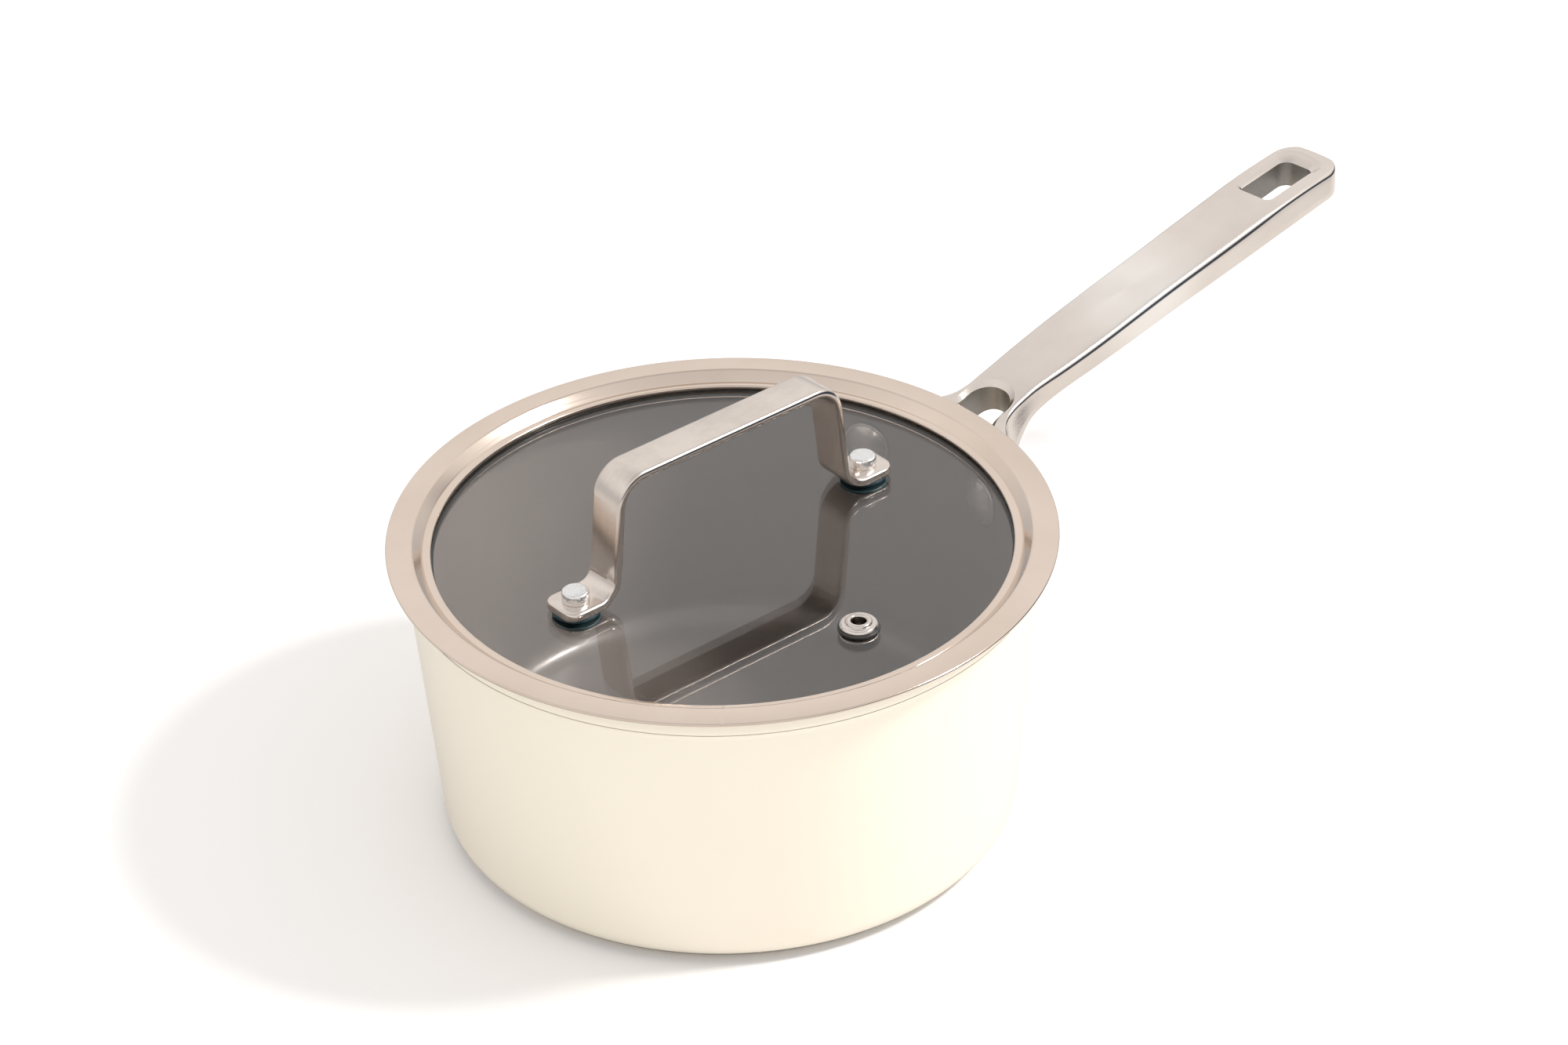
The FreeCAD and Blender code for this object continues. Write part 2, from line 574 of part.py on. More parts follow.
sweep.Profile = section
sweep.Spine = (path, [f"Edge{number}" for number in range(1, 10)])
doc.recompute()
for side, sign in (("Front", ""), ("Back", "0 - ")):
    ear = new_sketch(strap, f"Foot{side}Sketch", "XY_Plane", offset=FOOT_LOW)
    inner = f"{sign}( strap_span / 2 - ear_width / 2 + 1 )"
    tip = f"{sign}( strap_span / 2 + ear_reach )"
    outline(ear, [
        (inner, "0 - ear_width / 2", "3"),
        (tip, "0 - ear_width / 2", "ear_round"),
        (tip, "ear_width / 2", "ear_round"),
        (inner, "ear_width / 2", "3"),
    ])
    pad(strap, f"Foot{side}", ear, "strap_thickness")
rims = edges_where(strap.Tip, lambda edge: abs(edge.CenterOfMass.x) > value_of("strap_span / 2 + 1")
                   and abs(edge.CenterOfMass.z - value_of(FOOT_TOP)) < 0.01)
soften(strap, "FootEdges", strap.Tip, rims, "strap_edge * 0.5")
studs = new_sketch(strap, "StrapHoles", "XY_Plane")
ring(studs, ("strap_span / 2", "0"), "stud_radius")
ring(studs, ("0 - strap_span / 2", "0"), "stud_radius")
cut_through(strap, "CutStrapHoles", studs, forward=True)
turn_with_lid(strap)

# Lid rivets with their washers, one stack at each foot of the strap.
for side, along in (("front", "strap_span / 2"), ("back", "0 - strap_span / 2")):
    stud = new_body(f"lid_rivet_{side}")
    revolve(stud, "StudSection", [
        ("0", f"{UNDER_BACKING} - tail_height"),
        ("tail_radius", f"{UNDER_BACKING} - tail_height", "0.9"),
        ("tail_radius", UNDER_BACKING),
        ("stud_radius", UNDER_BACKING),
        ("stud_radius", FOOT_TOP),
        ("button_radius", FOOT_TOP),
        ("button_radius", f"{FOOT_TOP} + button_height", "button_round"),
        ("0", f"{FOOT_TOP} + button_height"),
    ])
    turn_with_lid(stud, along)
    for name, radius, low, high in (
            ("upper_washer", "washer_radius", GLASS_TOP, FOOT_LOW),
            ("lower_washer", "washer_radius", UNDER_WASHER, GLASS_LOW),
            ("backing_washer", "backing_radius", UNDER_BACKING, UNDER_WASHER)):
        washer = new_body(f"{name}_{side}")
        revolve(washer, "WasherSection", [
            ("stud_radius", low), (radius, low), (radius, high), ("stud_radius", high)])
        turn_with_lid(washer, along)

# Steam vent: a rolled steel eyelet through the glass, its sleeved gasket, and a washer below.
bore_wall = "( vent_bore + vent_tube )"
vent_seat = f"( {GLASS_TOP} + vent_gasket_thickness )"
vent_low = f"( {GLASS_LOW} - backing_thickness )"
eyelet = new_body("vent_eyelet")
revolve(eyelet, "EyeletSection", [
    ("vent_bore", f"{vent_low} - vent_tube"),
    ("vent_bore", f"{vent_seat} + vent_rise", "0.8"),
    ("vent_bore + 1.7", f"{vent_seat} + vent_rise - 0.1", "0.6"),
    ("vent_bore + 2.2", f"{vent_seat} + vent_rise - 0.6", "0.4"),
    ("vent_flange - 0.9", f"{vent_seat} + vent_rise - 0.5", "0.5"),
    ("vent_flange", f"{vent_seat} + vent_rise - 1.3", "0.4"),
    ("vent_flange", vent_seat),
    (bore_wall, vent_seat),
    (bore_wall, vent_low),
    (f"{bore_wall} + vent_flare", vent_low),
    (f"{bore_wall} + vent_flare", f"{vent_low} - vent_tube"),
])
turn_with_lid(eyelet, "0", "0 - vent_distance")
grommet = new_body("vent_gasket")
revolve(grommet, "GrommetSection", [
    (bore_wall, GLASS_LOW),
    (f"{bore_wall} + vent_sleeve", GLASS_LOW),
    (f"{bore_wall} + vent_sleeve", GLASS_TOP),
    ("vent_gasket_radius", GLASS_TOP),
    ("vent_gasket_radius", vent_seat),
    (bore_wall, vent_seat),
])
turn_with_lid(grommet, "0", "0 - vent_distance")
under_ring = new_body("vent_washer")
revolve(under_ring, "VentWasherSection", [
    (bore_wall, vent_low), ("vent_flange", vent_low), ("vent_flange", GLASS_LOW), (bore_wall, GLASS_LOW)])
turn_with_lid(under_ring, "0", "0 - vent_distance")

doc.recompute()
for thing in doc.Objects:
    if "Invalid" in thing.State or "Error" in thing.State:
        raise RuntimeError(f"{thing.Label} failed: {thing.State}")
for body in SUBPARTS:
    if body.Shape.isNull() or not body.Shape.isValid():
        raise RuntimeError(f"{body.Label} has no valid shape")
    if len(body.Shape.Solids) != 1:
        raise RuntimeError(f"{body.Label} has {len(body.Shape.Solids)} solids")
os.makedirs("parts", exist_ok=True)
for body in SUBPARTS:
    body.Shape.exportStep(f"parts/{body.Label}.step")
    print(body.Label, round(body.Shape.Volume, 1))
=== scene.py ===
import bpy
import math
import bmesh
from mathutils import Matrix, Vector, noise


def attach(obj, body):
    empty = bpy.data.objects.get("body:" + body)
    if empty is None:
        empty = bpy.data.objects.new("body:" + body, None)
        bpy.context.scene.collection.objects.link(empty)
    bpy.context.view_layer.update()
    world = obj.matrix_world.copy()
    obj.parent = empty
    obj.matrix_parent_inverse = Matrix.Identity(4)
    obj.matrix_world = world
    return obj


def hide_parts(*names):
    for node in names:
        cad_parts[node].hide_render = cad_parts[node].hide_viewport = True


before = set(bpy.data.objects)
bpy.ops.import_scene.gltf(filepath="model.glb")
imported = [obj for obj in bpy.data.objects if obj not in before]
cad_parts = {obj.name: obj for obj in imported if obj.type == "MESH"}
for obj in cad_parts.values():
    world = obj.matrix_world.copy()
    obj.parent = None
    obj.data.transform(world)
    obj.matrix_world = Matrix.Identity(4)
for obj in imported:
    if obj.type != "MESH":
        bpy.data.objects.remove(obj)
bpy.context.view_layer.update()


# ---------------------------------------------------------------- the pot
# One pot drawn from aluminium sheet: a thick flat floor, a slightly tapered wall and a lip band
# stepped out at the mouth. Sprayed with a cream ceramic coat outside and a warm grey one inside.
POT_CREAM = (0.835, 0.765, 0.645, 1.0)
POT_CREAM_DEEP = (0.80, 0.72, 0.59, 1.0)
POT_GREY = (0.105, 0.091, 0.083, 1.0)
POT_GREY_LIGHT = (0.128, 0.113, 0.103, 1.0)
POT_FOOT_GAP = 0.0004
POT_BASE_RADIUS = 0.0938
POT_WALL_TOP_RADIUS = 0.1010
POT_LIP_RADIUS = 0.1022
POT_BAND_LOW = 0.0919
POT_BAND_TOP = 0.0935
POT_HEIGHT = 0.1005
POT_WALL = 0.0030
POT_FLOOR = 0.0046
POT_HEEL_ROUND = 0.0080
POT_FLOOR_ROUND = 0.0100
POT_BAND_LOW_ROUND = 0.0060
POT_BAND_TOP_ROUND = 0.0040
POT_LIP_ROUND = 0.0014
DISC_RADIUS = 0.0740
DISC_THICKNESS = 0.0012
DISC_SEAT_ROUND = 0.0003


def rounded_run(corners, steps=8):
    """A half section: straight runs, with each corner that gives a radius turned as an arc."""
    run = []
    for number, corner in enumerate(corners):
        here = Vector(corner[:2])
        if len(corner) < 3:
            run.append(here)
            continue
        back = (Vector(corners[number - 1][:2]) - here).normalized()
        ahead = (Vector(corners[(number + 1) % len(corners)][:2]) - here).normalized()
        half = back.angle(ahead) / 2
        reach = corner[2] / math.tan(half)
        centre = here + (back + ahead).normalized() * (corner[2] / math.sin(half))
        first = here + back * reach - centre
        last = here + ahead * reach - centre
        sweep = first.angle_signed(last)
        for step in range(steps + 1):
            turn = sweep * step / steps
            run.append(centre + Vector((first.x * math.cos(turn) + first.y * math.sin(turn),
                                        first.y * math.cos(turn) - first.x * math.sin(turn))))
    return run


def make_piece(name, mesh):
    """Turn a finished bmesh into a smooth-shaded piece standing where it was drawn."""
    bmesh.ops.recalc_face_normals(mesh, faces=mesh.faces)
    data = bpy.data.meshes.new(name)
    mesh.to_mesh(data)
    mesh.free()
    for face in data.polygons:
        face.use_smooth = True
    piece = bpy.data.objects.new(name, data)
    bpy.context.scene.collection.objects.link(piece)
    return piece


def spin_section(name, run, segments=192, closed=False, place=None):
    """Turn a half section (radius, height) round an upright axis, as on a lathe."""
    mesh = bmesh.new()
    hoops = []
    for radius, height in run:
        if radius < 1e-6:
            hoops.append([mesh.verts.new((0.0, 0.0, height))])
            continue
        hoops.append([mesh.verts.new((radius * math.cos(2 * math.pi * step / segments),
                                      radius * math.sin(2 * math.pi * step / segments), height))
                      for step in range(segments)])
    pairs = list(zip(hoops, hoops[1:]))
    if closed:
        pairs.append((hoops[-1], hoops[0]))
    for lower, upper in pairs:
        for step in range(segments):
            after = (step + 1) % segments
            if len(lower) == 1:
                mesh.faces.new((lower[0], upper[after], upper[step]))
            elif len(upper) == 1:
                mesh.faces.new((lower[step], lower[after], upper[0]))
            else:
                mesh.faces.new((lower[step], lower[after], upper[after], upper[step]))
    if place:
        mesh.transform(place)
    return make_piece(name, mesh)


def wired_node(tree, kind, settings=None, **inputs):
    """Add a node; each input, given by its name or as i and its number, gets a value or a wire."""
    node = tree.nodes.new(kind)
    for setting, value in (settings or {}).items():
        setattr(node, setting, value)
    for key, value in inputs.items():
        socket = int(key[1:]) if key[0] == "i" and key[1:].isdigit() else key.replace("_", " ")
        if isinstance(value, bpy.types.NodeSocket):
            tree.links.new(value, node.inputs[socket])
        else:
            node.inputs[socket].default_value = value
    return node


class Finish:
    """A node material that starts from one Principled shader and is wired up by hand."""

    def __init__(self, name, **sockets):
        self.material = bpy.data.materials.new(name)
        self.material.use_nodes = True
        self.tree = self.material.node_tree
        self.shader = self.tree.nodes["Principled BSDF"]
        for socket, value in sockets.items():
            self.shader.inputs[socket.replace("_", " ")].default_value = value
        self.place = self.add("ShaderNodeTexCoord").outputs["Object"]
        self.split = self.add("ShaderNodeSeparateXYZ", Vector=self.place)

    def add(self, kind, settings=None, **inputs):
        return wired_node(self.tree, kind, settings, **inputs)

    def sum(self, operation, first, second=0.0):
        """Work out one number from two, by the operation named."""
        return self.add("ShaderNodeMath", {"operation": operation}, i0=first, i1=second).outputs[0]

    def radius(self):
        """Distance from the upright axis."""
        return self.sum("SQRT", self.sum("ADD", self.sum("POWER", self.split.outputs[0], 2.0),
                                         self.sum("POWER", self.split.outputs[1], 2.0)))

    def grain(self, place, scale, detail=3.0, rough=0.5):
        """Noise from 0 to 1, finer as the scale grows."""
        return self.add("ShaderNodeTexNoise", Vector=place, Scale=scale, Detail=detail,
                        Roughness=rough).outputs["Fac"]

    def spread(self, value, low, high, to_low, to_high):
        """Stretch a value from one range to another and clip it there."""
        return self.add("ShaderNodeMapRange", None, Value=value, From_Min=low, From_Max=high,
                        To_Min=to_low, To_Max=to_high).outputs[0]

    def between(self, share, first, second):
        """Go from the first number to the second."""
        return self.add("ShaderNodeMix", None, i0=share, i2=first, i3=second).outputs[0]

    def blend(self, share, first, second):
        """Go from the first colour to the second."""
        return self.add("ShaderNodeMix", {"data_type": "RGBA"}, i0=share, i6=first, i7=second).outputs[2]

    def set(self, socket, value):
        """Wire a value to the finish itself."""
        self.tree.links.new(value, self.shader.inputs[socket])

    def bump(self, height, strength, distance):
        """Raise the surface by a height, on top of any bump it already has."""
        node = self.add("ShaderNodeBump", None, Height=height, Strength=strength, Distance=distance)
        under = self.shader.inputs["Normal"]
        if under.is_linked:
            self.tree.links.new(under.links[0].from_socket, node.inputs["Normal"])
        self.set("Normal", node.outputs["Normal"])


pot = spin_section("pot", rounded_run([
    (0.0, DISC_THICKNESS),
    (DISC_RADIUS - 0.0003, DISC_THICKNESS),
    (DISC_RADIUS + 0.0002, POT_FOOT_GAP, DISC_SEAT_ROUND),
    (POT_BASE_RADIUS, POT_FOOT_GAP, POT_HEEL_ROUND),
    (POT_WALL_TOP_RADIUS, POT_BAND_LOW, POT_BAND_LOW_ROUND),
    (POT_LIP_RADIUS, POT_BAND_TOP, POT_BAND_TOP_ROUND),
    (POT_LIP_RADIUS, POT_HEIGHT, POT_LIP_ROUND),
    (POT_LIP_RADIUS - POT_WALL, POT_HEIGHT, POT_LIP_ROUND),
    (POT_LIP_RADIUS - POT_WALL, POT_BAND_TOP, POT_BAND_TOP_ROUND),
    (POT_WALL_TOP_RADIUS - POT_WALL, POT_BAND_LOW, POT_BAND_LOW_ROUND),
    (POT_BASE_RADIUS - POT_WALL, POT_FLOOR, POT_FLOOR_ROUND),
    (0.0, POT_FLOOR),
], 10))
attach(pot, "pan")
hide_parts("pan_body")

coat = Finish("ceramic_coat", Roughness=0.3, Coat_Weight=0.22, Coat_Roughness=0.16)
out_from_middle = coat.sum("SUBTRACT", coat.radius(), coat.sum(
    "ADD", coat.sum("MULTIPLY", coat.split.outputs[2],
                    (POT_WALL_TOP_RADIUS - POT_BASE_RADIUS) / POT_BAND_LOW),
    POT_BASE_RADIUS - POT_WALL / 2))
outside = coat.spread(out_from_middle, -0.0002, 0.0004, 0.0, 1.0)
underside = coat.spread(coat.split.outputs[2], POT_FLOOR / 2 - 0.0001, POT_FLOOR / 2 - 0.0005, 0.0, 1.0)
outside = coat.sum("MAXIMUM", outside, underside)
cloudy = coat.grain(coat.place, 14.0, 4.0)
cream = coat.blend(coat.spread(cloudy, 0.35, 0.7, 0.0, 0.22), POT_CREAM, POT_CREAM_DEEP)
grey = coat.blend(coat.spread(cloudy, 0.3, 0.7, 0.0, 1.0), POT_GREY, POT_GREY_LIGHT)
fleck = coat.grain(coat.place, 1400.0, 2.0)
grey = coat.blend(coat.spread(fleck, 0.66, 0.74, 0.0, 0.25), grey, (0.30, 0.28, 0.26, 1.0))
coat.set("Base Color", coat.blend(outside, grey, cream))
coat.set("Roughness", coat.spread(cloudy, 0.2, 0.8, 0.27, 0.36))
coat.bump(coat.grain(coat.place, 420.0, 2.0), 0.10, 0.0004)
coat.bump(coat.grain(coat.place, 22.0, 2.0), 0.05, 0.0015)
pot.data.materials.append(coat.material)


# ---------------------------------------------------------------- the base disc
# A flat disc of magnetic steel pressed into the underside so that the pot heats on any hob.
# Its face is spun, with three shallow turned grooves.
DISC_GROOVES = (0.0280, 0.0420, 0.0560)
GROOVE_MOUTH_HALF = 0.0007
GROOVE_BED_HALF = 0.0006
GROOVE_DEPTH = 0.0004
disc_run = [(0.0, 0.0)]
for groove in DISC_GROOVES:
    disc_run += [(groove - GROOVE_MOUTH_HALF, 0.0), (groove - GROOVE_BED_HALF, GROOVE_DEPTH),
                 (groove + GROOVE_BED_HALF, GROOVE_DEPTH), (groove + GROOVE_MOUTH_HALF, 0.0)]
disc_run += [(DISC_RADIUS - 0.0004, 0.0), (DISC_RADIUS, 0.0003), (DISC_RADIUS, DISC_THICKNESS),
             (0.0, DISC_THICKNESS)]
base_disc = spin_section("base_disc", disc_run)
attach(base_disc, "pan")
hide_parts("base_plate")


def turned_place(finish, across, along):
    """Grain that runs in hoops about the upright axis, as left by spinning."""
    angle = finish.sum("ARCTAN2", finish.split.outputs[1], finish.split.outputs[0])
    return finish.add("ShaderNodeCombineXYZ", None, X=finish.sum("MULTIPLY", finish.radius(), across),
                      Y=finish.sum("MULTIPLY", finish.split.outputs[2], across),
                      Z=finish.sum("MULTIPLY", angle, along)).outputs[0]


spun = Finish("spun_base_steel", Metallic=1.0, Base_Color=(0.55, 0.52, 0.49, 1.0), Anisotropic=0.5)
spun_lines = spun.grain(turned_place(spun, 2600.0, 1.6), 1.0, 4.0, 0.6)
scuffs = spun.grain(spun.place, 90.0, 6.0, 0.7)
spun.set("Base Color", spun.blend(spun.spread(scuffs, 0.45, 0.75, 0.0, 0.6), (0.58, 0.55, 0.52, 1.0),
                                  (0.36, 0.34, 0.32, 1.0)))
spun.set("Roughness", spun.spread(spun_lines, 0.3, 0.7, 0.26, 0.44))
spun.bump(spun_lines, 0.25, 0.00005)
base_disc.data.materials.append(spun.material)


# ---------------------------------------------------------------- the pan handle
# One stainless casting: a tapered bar with a satin top and polished sides, a hanging hole at its
# tip, and a fork at its root whose two arms run down to pads riveted to the pot.
HANDLE_STEEL = (0.76, 0.69, 0.63, 1.0)
# The brighter colour below is a painted highlight, blended into the middle of the bar's top.
HANDLE_PAINTED_HIGHLIGHT = (0.88, 0.825, 0.775, 1.0)
HANDLE_SHADE = (0.64, 0.56, 0.505, 1.0)
HANDLE_ROOT = 0.088
FORK_START = 0.098
BAR_START = 0.138
HANDLE_TIP = 0.2965
TIP_ROUND = 0.0090
TIP_EDGE = 0.0016
GRIP_CROWN = 0.0003
GRIP_LOW_ROUND = 0.0013
GRIP_FOOT_LEAN = 0.6
FORK_HALF = ((0.080, 0.0205), (0.1086, 0.0144, 0.012), (0.1186, 0.0094, 0.012), (0.1326, 0.0094, 0.0090))
FORK_CHAMFER = ((0.0011, 0.0050), (0.0011, 0.0008), (0.0002, -0.0002), (-0.0013, -0.0017),
                (-0.0013, -0.0500))
EYE_BACK = 0.2611
EYE_TIP = 0.2870
EYE_HALF = 0.0070
EYE_BACK_ROUND = 0.0026
EYE_TIP_ROUND = 0.0040
DISH_LENGTH = 0.0261
DISH_HALF = 0.0068
DISH_DEPTH = 0.0014
DISH_EDGE = 0.00025
DISH_FLARE = 1.25
RIVET_HEIGHT = 0.0770
RIVET_ANGLE = 15.7
SPOT_RADIUS = 0.0058
SPOT_FACE = 0.104
CUT_CLEAR = 0.140
WALL_CUT_LOW = 0.050
WALL_CUT_TOP = 0.1100
GRIP_TOP = ((0.088, 0.0888), (0.104, 0.0902), (0.117, 0.0926), (0.127, 0.0952), (0.137, 0.0977),
            (0.155, 0.1007), (0.175, 0.1039), (0.195, 0.1071), (0.215, 0.1100), (0.235, 0.1129),
            (0.255, 0.1157), (0.275, 0.1179), (0.2965, 0.1193))
GRIP_LOW = ((0.088, 0.0650), (0.100, 0.0664), (0.106, 0.0684), (0.111, 0.0712), (0.120, 0.0772),
            (0.127, 0.0830), (0.133, 0.0870), (0.145, 0.0902), (0.160, 0.0924), (0.185, 0.0954),
            (0.209, 0.0984), (0.245, 0.1029), (0.275, 0.1065), (0.2965, 0.1090))
GRIP_HALF = ((0.088, 0.0369), (0.098, 0.0369), (0.1015, 0.0363), (0.1045, 0.0348), (0.1067, 0.0323),
             (0.1095, 0.0278), (0.1122, 0.0234), (0.1155, 0.0187), (0.1196, 0.0152), (0.124, 0.0133),
             (0.129, 0.0122), (0.137, 0.0116), (0.150, 0.0120), (0.165, 0.0125), (0.185, 0.0126),
             (0.209, 0.0126), (0.230, 0.0129), (0.245, 0.0130), (0.2645, 0.0130), (0.2965, 0.0130))
GRIP_ROUND = ((0.088, 0.0012), (0.116, 0.0014), (0.130, 0.0016), (0.150, 0.0022), (0.180, 0.0024),
              (0.230, 0.0024), (0.250, 0.0022), (0.262, 0.0016), (0.2965, 0.0015))
SIDE_LEAN = ((0.088, 0.0), (0.104, 0.0), (0.113, 0.0016), (0.122, 0.0018), (0.134, 0.0007),
             (0.155, 0.0001), (0.2965, 0.0001))


def drawn_through(knots, x):
    """Smooth curve through the knots, read at x."""
    number = max(n for n, knot in enumerate(knots[:-1]) if knot[0] <= x or n == 0)
    start, end = knots[number], knots[number + 1]
    before = knots[max(number - 1, 0)]
    after = knots[min(number + 2, len(knots) - 1)]
    wide = end[0] - start[0]
    share = min(max((x - start[0]) / wide, 0.0), 1.0)
    rise_in = (end[1] - before[1]) / (end[0] - before[0]) * wide
    rise_out = (after[1] - start[1]) / (after[0] - start[0]) * wide
    return (start[1] * (2 * share ** 3 - 3 * share ** 2 + 1)
            + rise_in * (share ** 3 - 2 * share ** 2 + share)
            + end[1] * (3 * share ** 2 - 2 * share ** 3) + rise_out * (share ** 3 - share ** 2))


def grip_section(x, half, top, low):
    """Cross-section of the casting: slightly crowned top, rolled upper edges, leaning sides."""
    upper = drawn_through(GRIP_ROUND, x)
    lower = GRIP_LOW_ROUND
    lean = drawn_through(SIDE_LEAN, x)
    wide = half - lean
    foot = half + lean * GRIP_FOOT_LEAN
    right = [(wide - upper) * step / 6 for step in range(6)]
    right = [(y, top - GRIP_CROWN * (y / half) ** 2) for y in right]
    fall = GRIP_CROWN * ((wide - upper) / half) ** 2
    for step in range(9):
        angle = math.pi / 2 * (1 - step / 8)
        right.append((wide - upper + upper * math.cos(angle),
                      top - fall * step / 8 - upper + upper * math.sin(angle) - fall * (1 - step / 8)))
    for step in (1, 2, 3):
        share = step / 4
        right.append((wide + (foot - wide) * share,
                      top - upper - fall + (low + lower - top + upper + fall) * share))
    for step in range(6):
        angle = -math.pi / 2 * step / 5
        right.append((foot - lower + lower * math.cos(angle), low + lower + lower * math.sin(angle)))
    right += [((foot - lower) * (1 - step / 4), low) for step in range(1, 4)]
    return right + [(0.0, low)] + [(-y, z) for y, z in reversed(right[1:])]


stations = [HANDLE_ROOT + 0.001 * step for step in range(10)]
stations += [FORK_START + 0.0008 * step for step in range(50)]
stations += [BAR_START + 0.002 * step for step in range(75)]
stations += [HANDLE_TIP - TIP_ROUND + TIP_ROUND * math.sin(math.pi / 2 * step / 20) for step in range(21)]
mesh = bmesh.new()
rings = []
for x in stations:
    half = drawn_through(GRIP_HALF, x)
    top = drawn_through(GRIP_TOP, x)
    low = drawn_through(GRIP_LOW, x)
    into_tip = x - (HANDLE_TIP - TIP_ROUND)
    if into_tip > 0:
        half -= TIP_ROUND - math.sqrt(max(TIP_ROUND ** 2 - into_tip ** 2, 0.0))
    from_tip = max(HANDLE_TIP - x, 0.0)
    if from_tip < TIP_EDGE:
        drop = TIP_EDGE - math.sqrt(TIP_EDGE ** 2 - (TIP_EDGE - from_tip) ** 2)
        top -= drop
        low += drop * 0.7
    rings.append([mesh.verts.new((x, y, z)) for y, z in grip_section(x, half, top, low)])
for first, second in zip(rings, rings[1:]):
    for step in range(len(first)):
        mesh.faces.new((first[step], first[step - 1], second[step - 1], second[step]))
mesh.faces.new(rings[0])
mesh.faces.new(list(reversed(rings[-1])))
handle = make_piece("handle", mesh)


def pushed_out(loop, amounts):
    """Move each point of a closed outline outward by its own amount."""
    moved = []
    for number, spot in enumerate(loop):
        run = (loop[(number + 1) % len(loop)] - loop[number - 1]).normalized()
        moved.append(spot + Vector((run.y, -run.x)) * amounts[number])
    return moved


def stacked_cutter(name, layers):
    """A closed solid through a stack of outlines, each at its height over the grip's top."""
    mesh = bmesh.new()
    hoops = []
    for loop, rise in layers:
        tops = [drawn_through(GRIP_TOP, min(max(spot.x, HANDLE_ROOT), HANDLE_TIP)) for spot in loop]
        hoops.append([mesh.verts.new((spot.x, spot.y, top + rise)) for spot, top in zip(loop, tops)])
    for lower, upper in zip(hoops, hoops[1:]):
        for step in range(len(lower)):
            mesh.faces.new((lower[step - 1], lower[step], upper[step], upper[step - 1]))
    mesh.faces.new(hoops[0])
    mesh.faces.new(list(reversed(hoops[-1])))
    return make_piece(name, mesh)


fork_loop = rounded_run([(x, -y, *bend) for x, y, *bend in FORK_HALF]
                        + [(x, y, *bend) for x, y, *bend in reversed(FORK_HALF)], 10)
fork_cut = stacked_cutter("fork_cut", [(pushed_out(fork_loop, [amount] * len(fork_loop)), rise)
                                       for amount, rise in FORK_CHAMFER])

eye_loop = rounded_run([(EYE_BACK, -EYE_HALF, EYE_BACK_ROUND), (EYE_TIP, -EYE_HALF, EYE_TIP_ROUND),
                        (EYE_TIP, EYE_HALF, EYE_TIP_ROUND), (EYE_BACK, EYE_HALF, EYE_BACK_ROUND)], 10)
dished = []
for spot in eye_loop:
    toward_tip = min(max((spot.x - EYE_BACK) / DISH_LENGTH, 0.0), 1.0)
    toward_left = min(max((spot.y + DISH_HALF) / (2 * DISH_HALF), 0.0), 1.0)
    dished.append(0.0003 + 0.0028 * toward_left * min(toward_tip * 6, 1.0) * (1 + 0.4 * toward_tip)
                  + 0.0036 * max(toward_tip - 0.86, 0.0) / 0.14 * (1 - 0.55 * toward_left))
dish_mouth = pushed_out(eye_loop, [amount * DISH_FLARE for amount in dished])
eye_layers = [(dish_mouth, 0.0040), (dish_mouth, 0.0002)]
for step in range(9):
    share = step / 8
    eye_layers.append((pushed_out(eye_loop, [amount * (1 - share) for amount in dished]),
                       -DISH_EDGE - DISH_DEPTH * (0.4 * share + 0.6 * share ** 2)))
eye_layers.append((eye_loop, -0.0300))
eye_cut = stacked_cutter("eye_cut", eye_layers)


def wall_at(height):
    """Radius of the pot's outside where its wall is tapered."""
    return POT_BASE_RADIUS + (POT_WALL_TOP_RADIUS - POT_BASE_RADIUS) * height / POT_BAND_LOW


wall_cut = spin_section("wall_cut", rounded_run([
    (0.0, WALL_CUT_LOW), (wall_at(WALL_CUT_LOW), WALL_CUT_LOW), (POT_WALL_TOP_RADIUS, POT_BAND_LOW),
    (POT_LIP_RADIUS, POT_BAND_TOP), (POT_LIP_RADIUS, WALL_CUT_TOP), (0.0, WALL_CUT_TOP)]))
spot_run = rounded_run([(0.0, SPOT_FACE), (SPOT_RADIUS, SPOT_FACE), (SPOT_RADIUS, CUT_CLEAR),
                        (0.0, CUT_CLEAR)])
spot_cuts = [
    spin_section("spot_cut", spot_run, 64,
                 place=Matrix.Rotation(math.radians(angle), 4, "Z")
                 @ Matrix.Translation((0.0, 0.0, RIVET_HEIGHT)) @ Matrix.Rotation(math.pi / 2, 4, "Y"))
    for angle in (RIVET_ANGLE, -RIVET_ANGLE)]
cutters = [wall_cut, fork_cut, eye_cut] + spot_cuts
for cutter in cutters:
    cut = handle.modifiers.new(cutter.name, "BOOLEAN")
    cut.operation = "DIFFERENCE"
    cut.solver = "EXACT"
    cut.object = cutter
finished = bpy.data.meshes.new_from_object(handle.evaluated_get(bpy.context.evaluated_depsgraph_get()))
handle.modifiers.clear()
handle.data = finished
for cutter in cutters:
    bpy.data.objects.remove(cutter)
for face in finished.polygons:
    face.use_smooth = True
finished.set_sharp_from_angle(angle=math.radians(32))
finished.materials.clear()
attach(handle, "pan")
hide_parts("pan_handle")

cast = Finish("cast_steel", Metallic=1.0, Anisotropic=0.35)
along, beside = cast.split.outputs[0], cast.sum("ABSOLUTE", cast.split.outputs[1])
facing = cast.add("ShaderNodeSeparateXYZ", None, Vector=cast.add("ShaderNodeNewGeometry").outputs["Normal"])
on_top = cast.spread(facing.outputs[2], 0.86, 0.97, 0.0, 1.0)
on_side = cast.spread(facing.outputs[2], 0.45, 0.25, 0.0, 1.0)
stroke = cast.add("ShaderNodeVectorMath", {"operation": "MULTIPLY"}, i0=cast.place,
                  i1=(24.0, 2400.0, 2400.0)).outputs[0]
brushing = cast.grain(stroke, 1.0, 4.0, 0.6)
patches = cast.grain(cast.place, 26.0, 5.0, 0.65)
cast.bump(brushing, 0.10, 0.00004)

